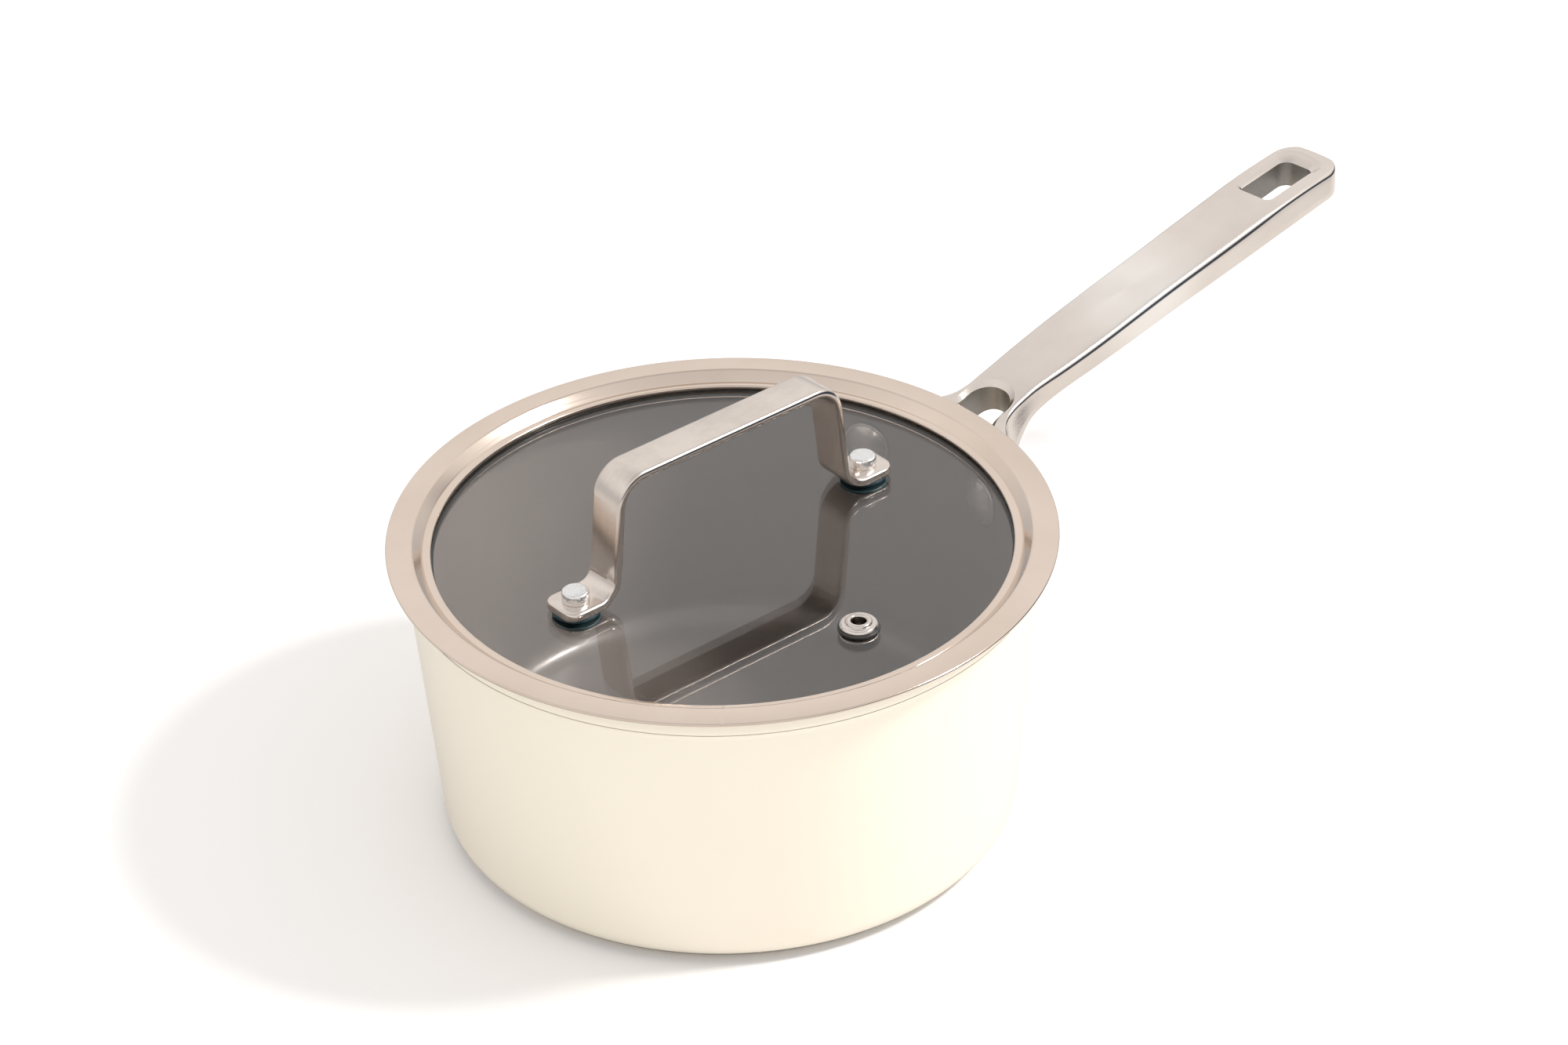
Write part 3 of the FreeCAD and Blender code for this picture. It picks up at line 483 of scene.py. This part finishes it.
# Inside the hanging hole and the fork the skin is left as cast, dull and pitted.
in_eye = cast.sum("MULTIPLY", cast.spread(beside, 0.00725, 0.00710, 0.0, 1.0), cast.sum(
    "MULTIPLY", cast.spread(along, 0.2609, 0.2610, 0.0, 1.0), cast.spread(along, 0.2873, 0.2871, 0.0, 1.0)))
in_eye = cast.sum("MULTIPLY", in_eye, on_side)
faces_middle = cast.spread(cast.sum("MULTIPLY", facing.outputs[1], cast.split.outputs[1]),
                           -0.0010, -0.0030, 0.0, 1.0)
in_fork = cast.sum("MAXIMUM", faces_middle, cast.spread(beside, 0.0088, 0.0084, 0.0, 1.0))
in_fork = cast.sum("MULTIPLY", cast.spread(along, 0.1316, 0.1312, 0.0, 1.0), cast.sum(
    "MULTIPLY", in_fork, on_side))
rough_cast = cast.sum("MAXIMUM", in_eye, in_fork)
pitted = cast.grain(cast.place, 1100.0, 5.0, 0.7)
pits = cast.blend(pitted, (0.26, 0.24, 0.22, 1.0), (0.38, 0.36, 0.335, 1.0))

# Painted highlight: the middle of the bar's colour is made brighter than its ends, standing in for a
# reflection along its top.
painted_highlight = cast.sum("MULTIPLY", cast.spread(cast.sum("ABSOLUTE", cast.sum("SUBTRACT", along, 0.196)),
                                         0.045, 0.004, 0.0, 1.0),
                 cast.spread(cast.grain(cast.place, 32.0, 1.0, 0.4), 0.25, 0.70, 0.0, 1.0))
polish = cast.blend(cast.spread(patches, 0.35, 0.7, 0.0, 0.6), HANDLE_STEEL, HANDLE_SHADE)
cast.set("Base Color", cast.blend(rough_cast, cast.blend(painted_highlight, polish, HANDLE_PAINTED_HIGHLIGHT), pits))
satin = cast.spread(cast.sum("ADD", brushing, patches), 0.7, 1.3, 0.26, 0.40)
polished = cast.spread(patches, 0.3, 0.7, 0.11, 0.19)
cast.set("Roughness", cast.between(rough_cast, cast.between(on_top, polished, satin), 0.48))
near_fork = cast.spread(along, 0.136, 0.124, 0.0, 1.0)
cast.bump(cast.sum("MULTIPLY", cast.grain(cast.place, 900.0, 4.0, 0.7), near_fork), 0.22, 0.0002)
handle.data.materials.append(cast.material)


# ---------------------------------------------------------------- the handle rivets
# Two aluminium rivets through the pot's wall and the fork's pads. Their wide domed heads inside the
# pot are sprayed with the same grey coat; the tails are peened over outside.
RIVET_HEAD = 0.0085
RIVET_SHANK = 0.0029
RIVET_TAIL = 0.0052
HEAD_RUN = [(0.0, 0.0034), (0.0028, 0.00325), (0.0050, 0.0026), (0.0066, 0.00185), (0.0074, 0.0013),
            (0.0077, 0.00105), (0.0081, 0.0010), (0.00845, 0.00085), (RIVET_HEAD, 0.0004),
            (RIVET_HEAD, -0.0009), (RIVET_SHANK, -0.0009), (RIVET_SHANK, -0.0073), (RIVET_TAIL, -0.0073),
            (RIVET_TAIL, -0.0081), (0.0046, -0.0089), (0.0030, -0.0092), (0.0, -0.0093)]

rivet_grey = Finish("coated_rivet", Metallic=0.75, Coat_Weight=0.5, Coat_Roughness=0.06)
rivet_grey.set("Base Color", rivet_grey.blend(rivet_grey.grain(rivet_grey.place, 120.0, 3.0),
                                              (0.36, 0.34, 0.325, 1.0), (0.44, 0.42, 0.40, 1.0)))
rivet_grey.set("Roughness", rivet_grey.spread(rivet_grey.grain(rivet_grey.place, 300.0),
                                              0.3, 0.7, 0.16, 0.26))
rivet_grey.bump(rivet_grey.grain(rivet_grey.place, 260.0), 0.16, 0.0004)

into_pot = (Matrix.Translation((wall_at(RIVET_HEIGHT) - POT_WALL, 0.0, RIVET_HEIGHT))
            @ Matrix.Rotation(-math.pi / 2, 4, "Y"))
for side, angle in (("left", RIVET_ANGLE), ("right", -RIVET_ANGLE)):
    rivet = spin_section("handle_rivet_head_" + side, HEAD_RUN, 64,
                         place=Matrix.Rotation(math.radians(angle), 4, "Z") @ into_pot)
    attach(rivet, "pan")
    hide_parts("handle_rivet_" + side)
    rivet.data.materials.append(rivet_grey.material)


# ---------------------------------------------------------------- the lid's glass
# A flat tempered disc, clear with a faint warm cast, drilled for the two lid rivets and the vent.
# Lamp light passes straight through it into the pot; faint smears dull it here and there.
LID_ANGLE = math.radians(-5.2)
LID_TURN = Matrix.Rotation(LID_ANGLE, 4, "Z")
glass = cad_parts["lid_glass"]
pane = Finish("clear_glass", Base_Color=(0.975, 0.945, 0.925, 1.0), Roughness=0.0, IOR=1.5,
              Transmission_Weight=1.0)
smears = pane.grain(pane.place, 30.0, 5.0, 0.7)
pane.set("Roughness", pane.spread(smears, 0.55, 0.8, 0.0, 0.012))
lets_lamps_through = pane.add("ShaderNodeBsdfTransparent", None, Color=(0.95, 0.925, 0.905, 1.0))
path = pane.add("ShaderNodeLightPath")
choice = pane.add("ShaderNodeMixShader", None, i0=path.outputs["Is Shadow Ray"],
                  i1=pane.shader.outputs[0], i2=lets_lamps_through.outputs[0])
pane.tree.links.new(choice.outputs[0], pane.tree.nodes["Material Output"].inputs["Surface"])
glass.data.materials.clear()
glass.data.materials.append(pane.material)


# ---------------------------------------------------------------- the glass seal
# A strip of dark silicone folded round the edge of the glass, hidden in the rim's channel.
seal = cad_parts["glass_gasket"]
seal_rubber = Finish("seal_silicone", Roughness=0.5)
seal_rubber.set("Base Color", seal_rubber.blend(seal_rubber.grain(seal_rubber.place, 200.0),
                                                (0.018, 0.018, 0.017, 1.0), (0.035, 0.034, 0.033, 1.0)))
seal_rubber.bump(seal_rubber.grain(seal_rubber.place, 900.0), 0.2, 0.0001)
seal.data.materials.clear()
seal.data.materials.append(seal_rubber.material)


# ---------------------------------------------------------------- the lid's rim
# A hoop rolled from thin stainless strip and butt welded: a hemmed flange over the pot's lip, a
# slope down into the mouth, a fine groove, and a ring whose lip is turned down onto the glass.
RIM_RADIUS = 0.1070
RIM_TOP = 0.1011
CREST_RADIUS = 0.0990
SLOPE_FOOT = 0.0956
RING_TOP = 0.09845
LIP_RADIUS = 0.0927
CHANNEL = 0.0960
GLASS_TOP = 0.0968
GLASS_LOW = 0.0930
SHEET = 0.0006
HEM_DEPTH = 0.0011
HEM_REACH = 0.0038
HEM_ROUND = 0.00052
CHANNEL_FLOOR = 0.0039
SEAM_ANGLE = math.radians(-134.6)
RIM_STEEL = (0.760, 0.640, 0.550, 1.0)
RIM_SHADE = (0.660, 0.545, 0.455, 1.0)
rim = spin_section("rim", rounded_run([
    (LIP_RADIUS, GLASS_TOP + 0.0001),
    (LIP_RADIUS, RING_TOP, 0.00055),
    (SLOPE_FOOT - 0.0003, RING_TOP, 0.0002),
    (SLOPE_FOOT - 0.0001, RING_TOP - 0.0003, 0.0001),
    (SLOPE_FOOT + 0.0002, RING_TOP + 0.00005, 0.0002),
    (CREST_RADIUS - 0.0003, RIM_TOP + 0.0004, 0.0014),
    (RIM_RADIUS, RIM_TOP - 0.00002, HEM_ROUND),
    (RIM_RADIUS, RIM_TOP - HEM_DEPTH, HEM_ROUND),
    (RIM_RADIUS - HEM_REACH, RIM_TOP - 0.0009),
    (RIM_RADIUS - HEM_REACH, RIM_TOP - 0.0004),
    (CREST_RADIUS + 0.0001, RIM_TOP - 0.00024),
    (CHANNEL + SHEET, RING_TOP - 0.00024, 0.0004),
    (CHANNEL + SHEET, GLASS_LOW - 0.0011, 0.00055),
    (CHANNEL - CHANNEL_FLOOR, GLASS_LOW - 0.0011, 0.0001),
    (CHANNEL - CHANNEL_FLOOR, GLASS_LOW - 0.0005),
    (CHANNEL, GLASS_LOW - 0.0005),
    (CHANNEL, RING_TOP - SHEET),
    (LIP_RADIUS + SHEET, RING_TOP - SHEET),
    (LIP_RADIUS + SHEET, GLASS_TOP + 0.0001),
], 8), 256, closed=True)
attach(rim, "lid")
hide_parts("lid_rim")

hoop = Finish("rim_steel", Metallic=1.0, Anisotropic=0.3)
rolled = hoop.grain(turned_place(hoop, 3000.0, 2.0), 1.0, 4.0, 0.6)
tone = hoop.grain(hoop.place, 18.0, 4.0, 0.6)
hoop.set("Base Color", hoop.blend(hoop.spread(tone, 0.35, 0.68, 0.0, 0.6), RIM_STEEL, RIM_SHADE))
hoop.set("Roughness", hoop.spread(hoop.sum("ADD", rolled, tone), 0.7, 1.3, 0.09, 0.18))
hoop.bump(rolled, 0.07, 0.00004)
seam_angle = hoop.sum("ABSOLUTE", hoop.sum("SUBTRACT", hoop.sum(
    "ARCTAN2", hoop.split.outputs[1], hoop.split.outputs[0]), SEAM_ANGLE))
seam = hoop.spread(seam_angle, 0.0035, 0.0010, 0.0, 1.0)
hoop.bump(hoop.sum("MULTIPLY", seam, -1.0), 0.35, 0.0003)
rim.data.materials.append(hoop.material)


# ---------------------------------------------------------------- the lid's handle
# A stainless strip bent into a bar on two legs, with wider rounded feet that the rivets clamp.
# It is brushed along its length and its edges are rolled round.
STRAP_WIDTH = 0.0136
STRAP_THICKNESS = 0.0028
FOOT_WIDTH = 0.0156
FOOT_TOP = 0.1009
STRAP_RISE = 0.0398
STRAP_TIP = 0.0666
FOOT_ROUND = 0.0042
FOOT_STARTS = 0.0490
FOOT_FLARE = 0.0050
HEEL = (0.0476, 0.0075)
SHOULDER = (0.0432, 0.0095)
RIVET_SPAN = 0.0590
STRAP_STEEL = (0.745, 0.665, 0.605, 1.0)
STRAP_SHADE = (0.60, 0.53, 0.475, 1.0)
foot_level = FOOT_TOP - STRAP_THICKNESS / 2
bar_level = FOOT_TOP + STRAP_RISE - STRAP_THICKNESS / 2
half_route = rounded_run([
    (STRAP_TIP, foot_level),
    (HEEL[0], foot_level, HEEL[1]),
    (SHOULDER[0], bar_level, SHOULDER[1]),
    (0.0, bar_level),
], 12)
tip_steps = [STRAP_TIP - FOOT_ROUND * (1 - math.cos(math.pi / 2 * step / 7)) for step in range(8)]
foot_steps = [0.0610, 0.0592, 0.0574, 0.0560]
route = [Vector((x, foot_level)) for x in tip_steps + foot_steps] + half_route[1:-1]
route += [Vector((x, bar_level)) for x in (0.024, 0.012)]
route += [Vector((0.0, bar_level))] + [Vector((-spot.x, spot.y)) for spot in reversed(route)]


def strap_section(width, thickness):
    """Outline of the strip: flat outer face, well rounded outer edges, smaller inner ones."""
    corners = []
    for across, out, radius, start in ((-1, -1, 0.0007, 180), (1, -1, 0.0007, 270),
                                       (1, 1, 0.0013, 0), (-1, 1, 0.0013, 90)):
        for step in range(5):
            angle = math.radians(start + 90 * step / 4)
            corners.append((across * (width / 2 - radius) + radius * math.cos(angle),
                            out * (thickness / 2 - radius) + radius * math.sin(angle)))
    return corners


mesh = bmesh.new()
rings = []
for number, spot in enumerate(route):
    before = route[max(number - 1, 0)]
    after = route[min(number + 1, len(route) - 1)]
    run = (after - before).normalized()
    outward = Vector((run.y, -run.x))
    from_tip = STRAP_TIP - abs(spot.x)
    on_foot = spot.y < foot_level + 0.004
    widen = min(max((abs(spot.x) - FOOT_STARTS) / FOOT_FLARE, 0.0), 1.0) if on_foot else 0.0
    width = STRAP_WIDTH + (FOOT_WIDTH - STRAP_WIDTH) * widen * widen * (3 - 2 * widen)
    if from_tip < FOOT_ROUND:
        width -= 2 * (FOOT_ROUND - math.sqrt(max(0.0, FOOT_ROUND ** 2 - (FOOT_ROUND - from_tip) ** 2)))
    thickness = STRAP_THICKNESS - (0.0007 if from_tip < 1e-5 else 0.0)
    corners = [Vector((spot.x + outward.x * out, across, spot.y + outward.y * out))
               for across, out in strap_section(width, thickness)]
    rings.append([mesh.verts.new(LID_TURN @ corner) for corner in corners])
for first, second in zip(rings, rings[1:]):
    for step in range(len(first)):
        mesh.faces.new((first[step], first[step - 1], second[step - 1], second[step]))
mesh.faces.new(rings[0])
mesh.faces.new(list(reversed(rings[-1])))
strap = make_piece("strap_handle", mesh)
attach(strap, "lid")
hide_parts("lid_handle")

strip = Finish("strap_steel", Metallic=1.0, Anisotropic=0.4)
square_on = strip.add("ShaderNodeVectorRotate", {"rotation_type": "Z_AXIS"}, Vector=strip.place,
                      Angle=-LID_ANGLE).outputs[0]
lines = strip.grain(strip.add("ShaderNodeVectorMath", {"operation": "MULTIPLY"}, i0=square_on,
                              i1=(16.0, 3200.0, 16.0)).outputs[0], 1.0, 4.0, 0.6)
blotches = strip.grain(strip.place, 60.0, 6.0, 0.7)
strip.set("Base Color", strip.blend(strip.spread(blotches, 0.42, 0.72, 0.0, 0.65),
                                    STRAP_STEEL, STRAP_SHADE))
strip.set("Roughness", strip.spread(strip.sum("ADD", lines, blotches), 0.7, 1.35, 0.13, 0.25))
strip.bump(lines, 0.06, 0.00004)
strap.data.materials.append(strip.material)


# ---------------------------------------------------------------- the lid's rivets and washers
# At each foot an aluminium rivet clamps the strap through a soft teal silicone washer above the
# glass, another below it, and a steel washer. The rivet's top was set with a hammer.
BUTTON_RADIUS = 0.0044
BUTTON_HEIGHT = 0.0038
STUD_SHANK = 0.0025
STUD_TAIL = 0.0018
PAD_RADIUS = 0.0078
BACKING_RADIUS = 0.0070
PAD_THICKNESS = 0.0013
BACKING_THICKNESS = 0.0008
PAD_EDGE = 0.0004
STEEL_EDGE = 0.0002
UNDER_WASHER = GLASS_LOW - PAD_THICKNESS
UNDER_BACKING = UNDER_WASHER - BACKING_THICKNESS
DENT_FINENESS = 420.0
DENT_SHARE = 0.022

hammered = Finish("rivet_aluminium", Metallic=1.0, Base_Color=(0.80, 0.79, 0.78, 1.0), Roughness=0.28)
dents = hammered.add("ShaderNodeTexVoronoi", {"feature": "SMOOTH_F1"}, Vector=hammered.place,
                     Scale=900.0).outputs["Distance"]
scratches = hammered.grain(hammered.place, 1500.0, 4.0, 0.7)
hammered.set("Base Color", hammered.blend(hammered.spread(scratches, 0.5, 0.8, 0.0, 0.6),
                                          (0.82, 0.81, 0.80, 1.0), (0.50, 0.49, 0.48, 1.0)))
hammered.set("Roughness", hammered.spread(scratches, 0.3, 0.7, 0.20, 0.38))
hammered.bump(dents, 0.55, 0.0003)
hammered.bump(scratches, 0.22, 0.0001)

teal = Finish("teal_silicone", Roughness=0.42)
teal.set("Base Color", teal.blend(teal.grain(teal.place, 500.0), (0.006, 0.024, 0.031, 1.0),
                                  (0.012, 0.042, 0.050, 1.0)))
teal.set("Roughness", teal.spread(teal.grain(teal.place, 800.0), 0.3, 0.7, 0.34, 0.5))
teal.bump(teal.grain(teal.place, 1600.0), 0.15, 0.0001)

stamped = Finish("washer_steel", Metallic=1.0, Anisotropic=0.2)
stamp_marks = stamped.grain(stamped.place, 700.0, 5.0, 0.7)
stamped.set("Base Color", stamped.blend(stamp_marks, (0.62, 0.58, 0.55, 1.0), (0.46, 0.43, 0.40, 1.0)))
stamped.set("Roughness", stamped.spread(stamp_marks, 0.3, 0.7, 0.22, 0.40))
stamped.bump(stamp_marks, 0.12, 0.0001)


def washer_run(inner, outer, low, high, edge):
    """Half section of a flat ring whose outer edges are rounded."""
    return rounded_run([(inner, low), (outer, low, edge), (outer, high, edge), (inner, high)], 4)


for side, along in (("front", RIVET_SPAN), ("back", -RIVET_SPAN)):
    stack = LID_TURN @ Matrix.Translation((along, 0.0, 0.0))
    rivet = spin_section("lid_stud_" + side, rounded_run([
        (0.0, UNDER_BACKING - STUD_TAIL),
        (BUTTON_RADIUS, UNDER_BACKING - STUD_TAIL, 0.0009),
        (BUTTON_RADIUS, UNDER_BACKING),
        (STUD_SHANK, UNDER_BACKING),
        (STUD_SHANK, FOOT_TOP),
        (BUTTON_RADIUS, FOOT_TOP, 0.0002),
        (BUTTON_RADIUS, FOOT_TOP + BUTTON_HEIGHT, 0.0010),
        (0.0, FOOT_TOP + BUTTON_HEIGHT),
    ], 6), 64)
    crown = bmesh.new()
    crown.from_mesh(rivet.data)
    for vertex in crown.verts:
        if vertex.co.z > FOOT_TOP + 0.001:
            dent = noise.noise(vertex.co * DENT_FINENESS + Vector((along * 900.0, 0.0, 0.0)))
            out = Vector((vertex.co.x, vertex.co.y, 0.0))
            vertex.co += out * dent * DENT_SHARE
            vertex.co.z -= 0.00012 + abs(dent) * 0.00022
    crown.transform(stack)
    crown.to_mesh(rivet.data)
    crown.free()
    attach(rivet, "lid")
    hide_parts("lid_rivet_" + side)
    rivet.data.materials.append(hammered.material)
    for name, node, slot, finish, run in (
            ("upper_pad_", "upper_washer_", "teal_silicone", teal,
             washer_run(STUD_SHANK, PAD_RADIUS, GLASS_TOP, FOOT_TOP - STRAP_THICKNESS, PAD_EDGE)),
            ("lower_pad_", "lower_washer_", "teal_silicone", teal,
             washer_run(STUD_SHANK, PAD_RADIUS, UNDER_WASHER, GLASS_LOW, PAD_EDGE)),
            ("backing_", "backing_washer_", "washer_steel", stamped,
             washer_run(STUD_SHANK, BACKING_RADIUS, UNDER_BACKING, UNDER_WASHER, STEEL_EDGE))):
        washer = spin_section(name + side, run, 72, closed=True, place=stack)
        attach(washer, "lid")
        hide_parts(node + side)
        washer.data.materials.append(finish.material)


# ---------------------------------------------------------------- the steam vent
# A stainless eyelet rolled over the edge of a hole in the glass. A dark silicone grommet seals it
# and a washer under the glass takes its flared end.
VENT_PLACE = LID_TURN @ Matrix.Translation((0.0, -0.0662, 0.0))
VENT_BORE = 0.00235
VENT_TUBE = 0.00295
VENT_TAIL = 0.00435
VENT_SKIRT = 0.00610
GROMMET_NECK = 0.00365
GROMMET_RADIUS = 0.00670
VENT_SEAT = GLASS_TOP + 0.0009
VENT_LOW = GLASS_LOW - 0.0008
VENT_END = VENT_LOW - 0.0006
eyelet = spin_section("eyelet", rounded_run([
    (VENT_BORE, VENT_END),
    (VENT_BORE, VENT_SEAT + 0.0023, 0.0008),
    (0.00400, VENT_SEAT + 0.0022, 0.0007),
    (0.00430, VENT_SEAT + 0.0013, 0.0004),
    (0.00560, VENT_SEAT + 0.0013, 0.0006),
    (VENT_SKIRT, VENT_SEAT + 0.0006, 0.0003),
    (VENT_SKIRT, VENT_SEAT, 0.0001),
    (VENT_TUBE, VENT_SEAT),
    (VENT_TUBE, VENT_LOW),
    (VENT_TAIL, VENT_LOW),
    (VENT_TAIL, VENT_END),
], 6), 72, closed=True, place=VENT_PLACE)
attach(eyelet, "lid")
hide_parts("vent_eyelet")
rolled_steel = Finish("eyelet_steel", Metallic=1.0, Roughness=0.16)
tool_marks = rolled_steel.grain(rolled_steel.place, 900.0, 4.0, 0.6)
rolled_steel.set("Base Color", rolled_steel.blend(tool_marks, (0.76, 0.70, 0.65, 1.0),
                                                  (0.62, 0.56, 0.51, 1.0)))
rolled_steel.set("Roughness", rolled_steel.spread(tool_marks, 0.3, 0.7, 0.10, 0.22))
rolled_steel.bump(tool_marks, 0.06, 0.0001)
eyelet.data.materials.append(rolled_steel.material)

grommet = spin_section("vent_grommet", rounded_run([
    (VENT_TUBE, GLASS_LOW),
    (GROMMET_NECK, GLASS_LOW),
    (GROMMET_NECK, GLASS_TOP),
    (GROMMET_RADIUS, GLASS_TOP, 0.0002),
    (GROMMET_RADIUS, VENT_SEAT, 0.0003),
    (VENT_TUBE, VENT_SEAT),
], 5), 72, closed=True, place=VENT_PLACE)
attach(grommet, "lid")
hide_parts("vent_gasket")
dark_rubber = Finish("vent_silicone", Roughness=0.45)
dark_rubber.set("Base Color", dark_rubber.blend(dark_rubber.grain(dark_rubber.place, 600.0),
                                                (0.020, 0.020, 0.019, 1.0), (0.045, 0.043, 0.040, 1.0)))
dark_rubber.bump(dark_rubber.grain(dark_rubber.place, 1500.0), 0.15, 0.0001)
grommet.data.materials.append(dark_rubber.material)

under_ring = spin_section("vent_backing",
                          washer_run(VENT_TUBE, VENT_SKIRT, VENT_LOW, GLASS_LOW, STEEL_EDGE), 72,
                          closed=True, place=VENT_PLACE)
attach(under_ring, "lid")
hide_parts("vent_washer")
under_ring.data.materials.append(stamped.material)


# ---------------------------------------------------------------- camera, floor and light
# A white paper floor in a bright white room, with one soft lamp high on the right. Metal mirrors a
# greyer room than the eye sees, dark low down on the right where the studio is unlit.
CAMERA_PLACE = (-0.8394, -0.8845, 0.8893)
CAMERA_HEADING = -44.425
CAMERA_PITCH = 57.187
CAMERA_ROLL = -1.549
KEY_PLACE = Vector((0.480, -0.450, 0.755)) * 1.9
UNLIT_SIDE = (0.56, -0.83, 0.0)
UNLIT_COLOUR = (0.055, 0.070, 0.100, 1.0)
UNLIT_FLOOR = (0.030, 0.040, 0.060, 1.0)

camera_data = bpy.data.cameras.new("camera")
camera = bpy.data.objects.new("camera", camera_data)
bpy.context.scene.collection.objects.link(camera)
camera_data.lens = 105.0
camera_data.sensor_width = 36.0
camera_data.clip_end = 20.0
camera.matrix_world = (
    Matrix.Translation(CAMERA_PLACE)
    @ Matrix.Rotation(math.radians(CAMERA_HEADING), 4, "Z")
    @ Matrix.Rotation(math.radians(CAMERA_PITCH), 4, "X")
    @ Matrix.Rotation(math.radians(CAMERA_ROLL), 4, "Z"))
bpy.context.scene.camera = camera
bpy.context.scene.view_settings.view_transform = "Standard"

mesh = bmesh.new()
bmesh.ops.create_grid(mesh, x_segments=2, y_segments=2, size=5.0)
floor = make_piece("floor", mesh)
paper = Finish("white_paper", Roughness=0.7)
paper.set("Base Color", paper.blend(paper.grain(paper.place, 6.0), (0.90, 0.885, 0.88, 1.0),
                                    (0.915, 0.90, 0.895, 1.0)))
paper.bump(paper.grain(paper.place, 900.0), 0.03, 0.0002)
in_metal = paper.add("ShaderNodeLightPath")
past_edge = paper.spread(paper.add("ShaderNodeVectorMath", {"operation": "DOT_PRODUCT"}, i0=paper.place,
                                   i1=UNLIT_SIDE).outputs["Value"], 0.34, 0.62, 0.0, 1.0)
dimmer = paper.add("ShaderNodeBsdfDiffuse", None, Color=paper.blend(
    past_edge, (0.60, 0.59, 0.58, 1.0), UNLIT_FLOOR))
which = paper.add("ShaderNodeMixShader", None, i0=in_metal.outputs["Is Glossy Ray"],
                  i1=paper.shader.outputs[0], i2=dimmer.outputs[0])
paper.tree.links.new(which.outputs[0], paper.tree.nodes["Material Output"].inputs["Surface"])
floor.data.materials.append(paper.material)

key_data = bpy.data.lights.new("key_lamp", "AREA")
key_data.shape = "DISK"
key_data.size = 0.30
key_data.energy = 25.0
key = bpy.data.objects.new("key_lamp", key_data)
bpy.context.scene.collection.objects.link(key)
key.location = KEY_PLACE
key.rotation_euler = (-KEY_PLACE).to_track_quat("-Z", "Y").to_euler()

world = bpy.data.worlds.new("studio")
world.use_nodes = True
room = world.node_tree
bright = room.nodes["Background"]
bright.inputs["Color"].default_value = (1.0, 0.995, 0.985, 1.0)
bright.inputs["Strength"].default_value = 1.03
toward = room.nodes.new("ShaderNodeTexCoord").outputs["Generated"]
height = wired_node(room, "ShaderNodeSeparateXYZ", None, i0=toward).outputs[2]
bands = wired_node(room, "ShaderNodeValToRGB", None, i0=height)
bands.color_ramp.elements[0].position = 0.0
bands.color_ramp.elements[0].color = (0.80, 0.80, 0.80, 1.0)
bands.color_ramp.elements[1].position = 1.0
bands.color_ramp.elements[1].color = (0.62, 0.62, 0.63, 1.0)
for position, shade in ((0.03, (0.62, 0.63, 0.65, 1.0)), (0.15, (0.74, 0.74, 0.75, 1.0)),
                        (0.36, (0.93, 0.92, 0.91, 1.0)), (0.62, (1.02, 1.01, 1.0, 1.0)),
                        (0.80, (0.85, 0.85, 0.85, 1.0))):
    bands.color_ramp.elements.new(position).color = shade
aside = wired_node(room, "ShaderNodeVectorMath", {"operation": "DOT_PRODUCT"}, i0=toward, i1=UNLIT_SIDE)
eased = {"interpolation_type": "SMOOTHSTEP"}
dark_side = wired_node(room, "ShaderNodeMapRange", eased, i0=aside.outputs["Value"], i1=0.50, i2=0.78)
low_down = wired_node(room, "ShaderNodeMapRange", eased, i0=height, i1=0.46, i2=0.26)
unlit = wired_node(room, "ShaderNodeMath", {"operation": "MULTIPLY"},
                   i0=dark_side.outputs[0], i1=low_down.outputs[0])
mirrored = wired_node(room, "ShaderNodeMix", {"data_type": "RGBA"},
                      i0=unlit.outputs[0], i6=bands.outputs[0], i7=UNLIT_COLOUR)
in_mirror = wired_node(room, "ShaderNodeBackground", None, Color=mirrored.outputs[2], Strength=1.0)
ray = room.nodes.new("ShaderNodeLightPath")
either = wired_node(room, "ShaderNodeMixShader", None, i0=ray.outputs["Is Glossy Ray"],
                    i1=bright.outputs[0], i2=in_mirror.outputs[0])
room.links.new(either.outputs[0], room.nodes["World Output"].inputs["Surface"])
bpy.context.scene.world = world
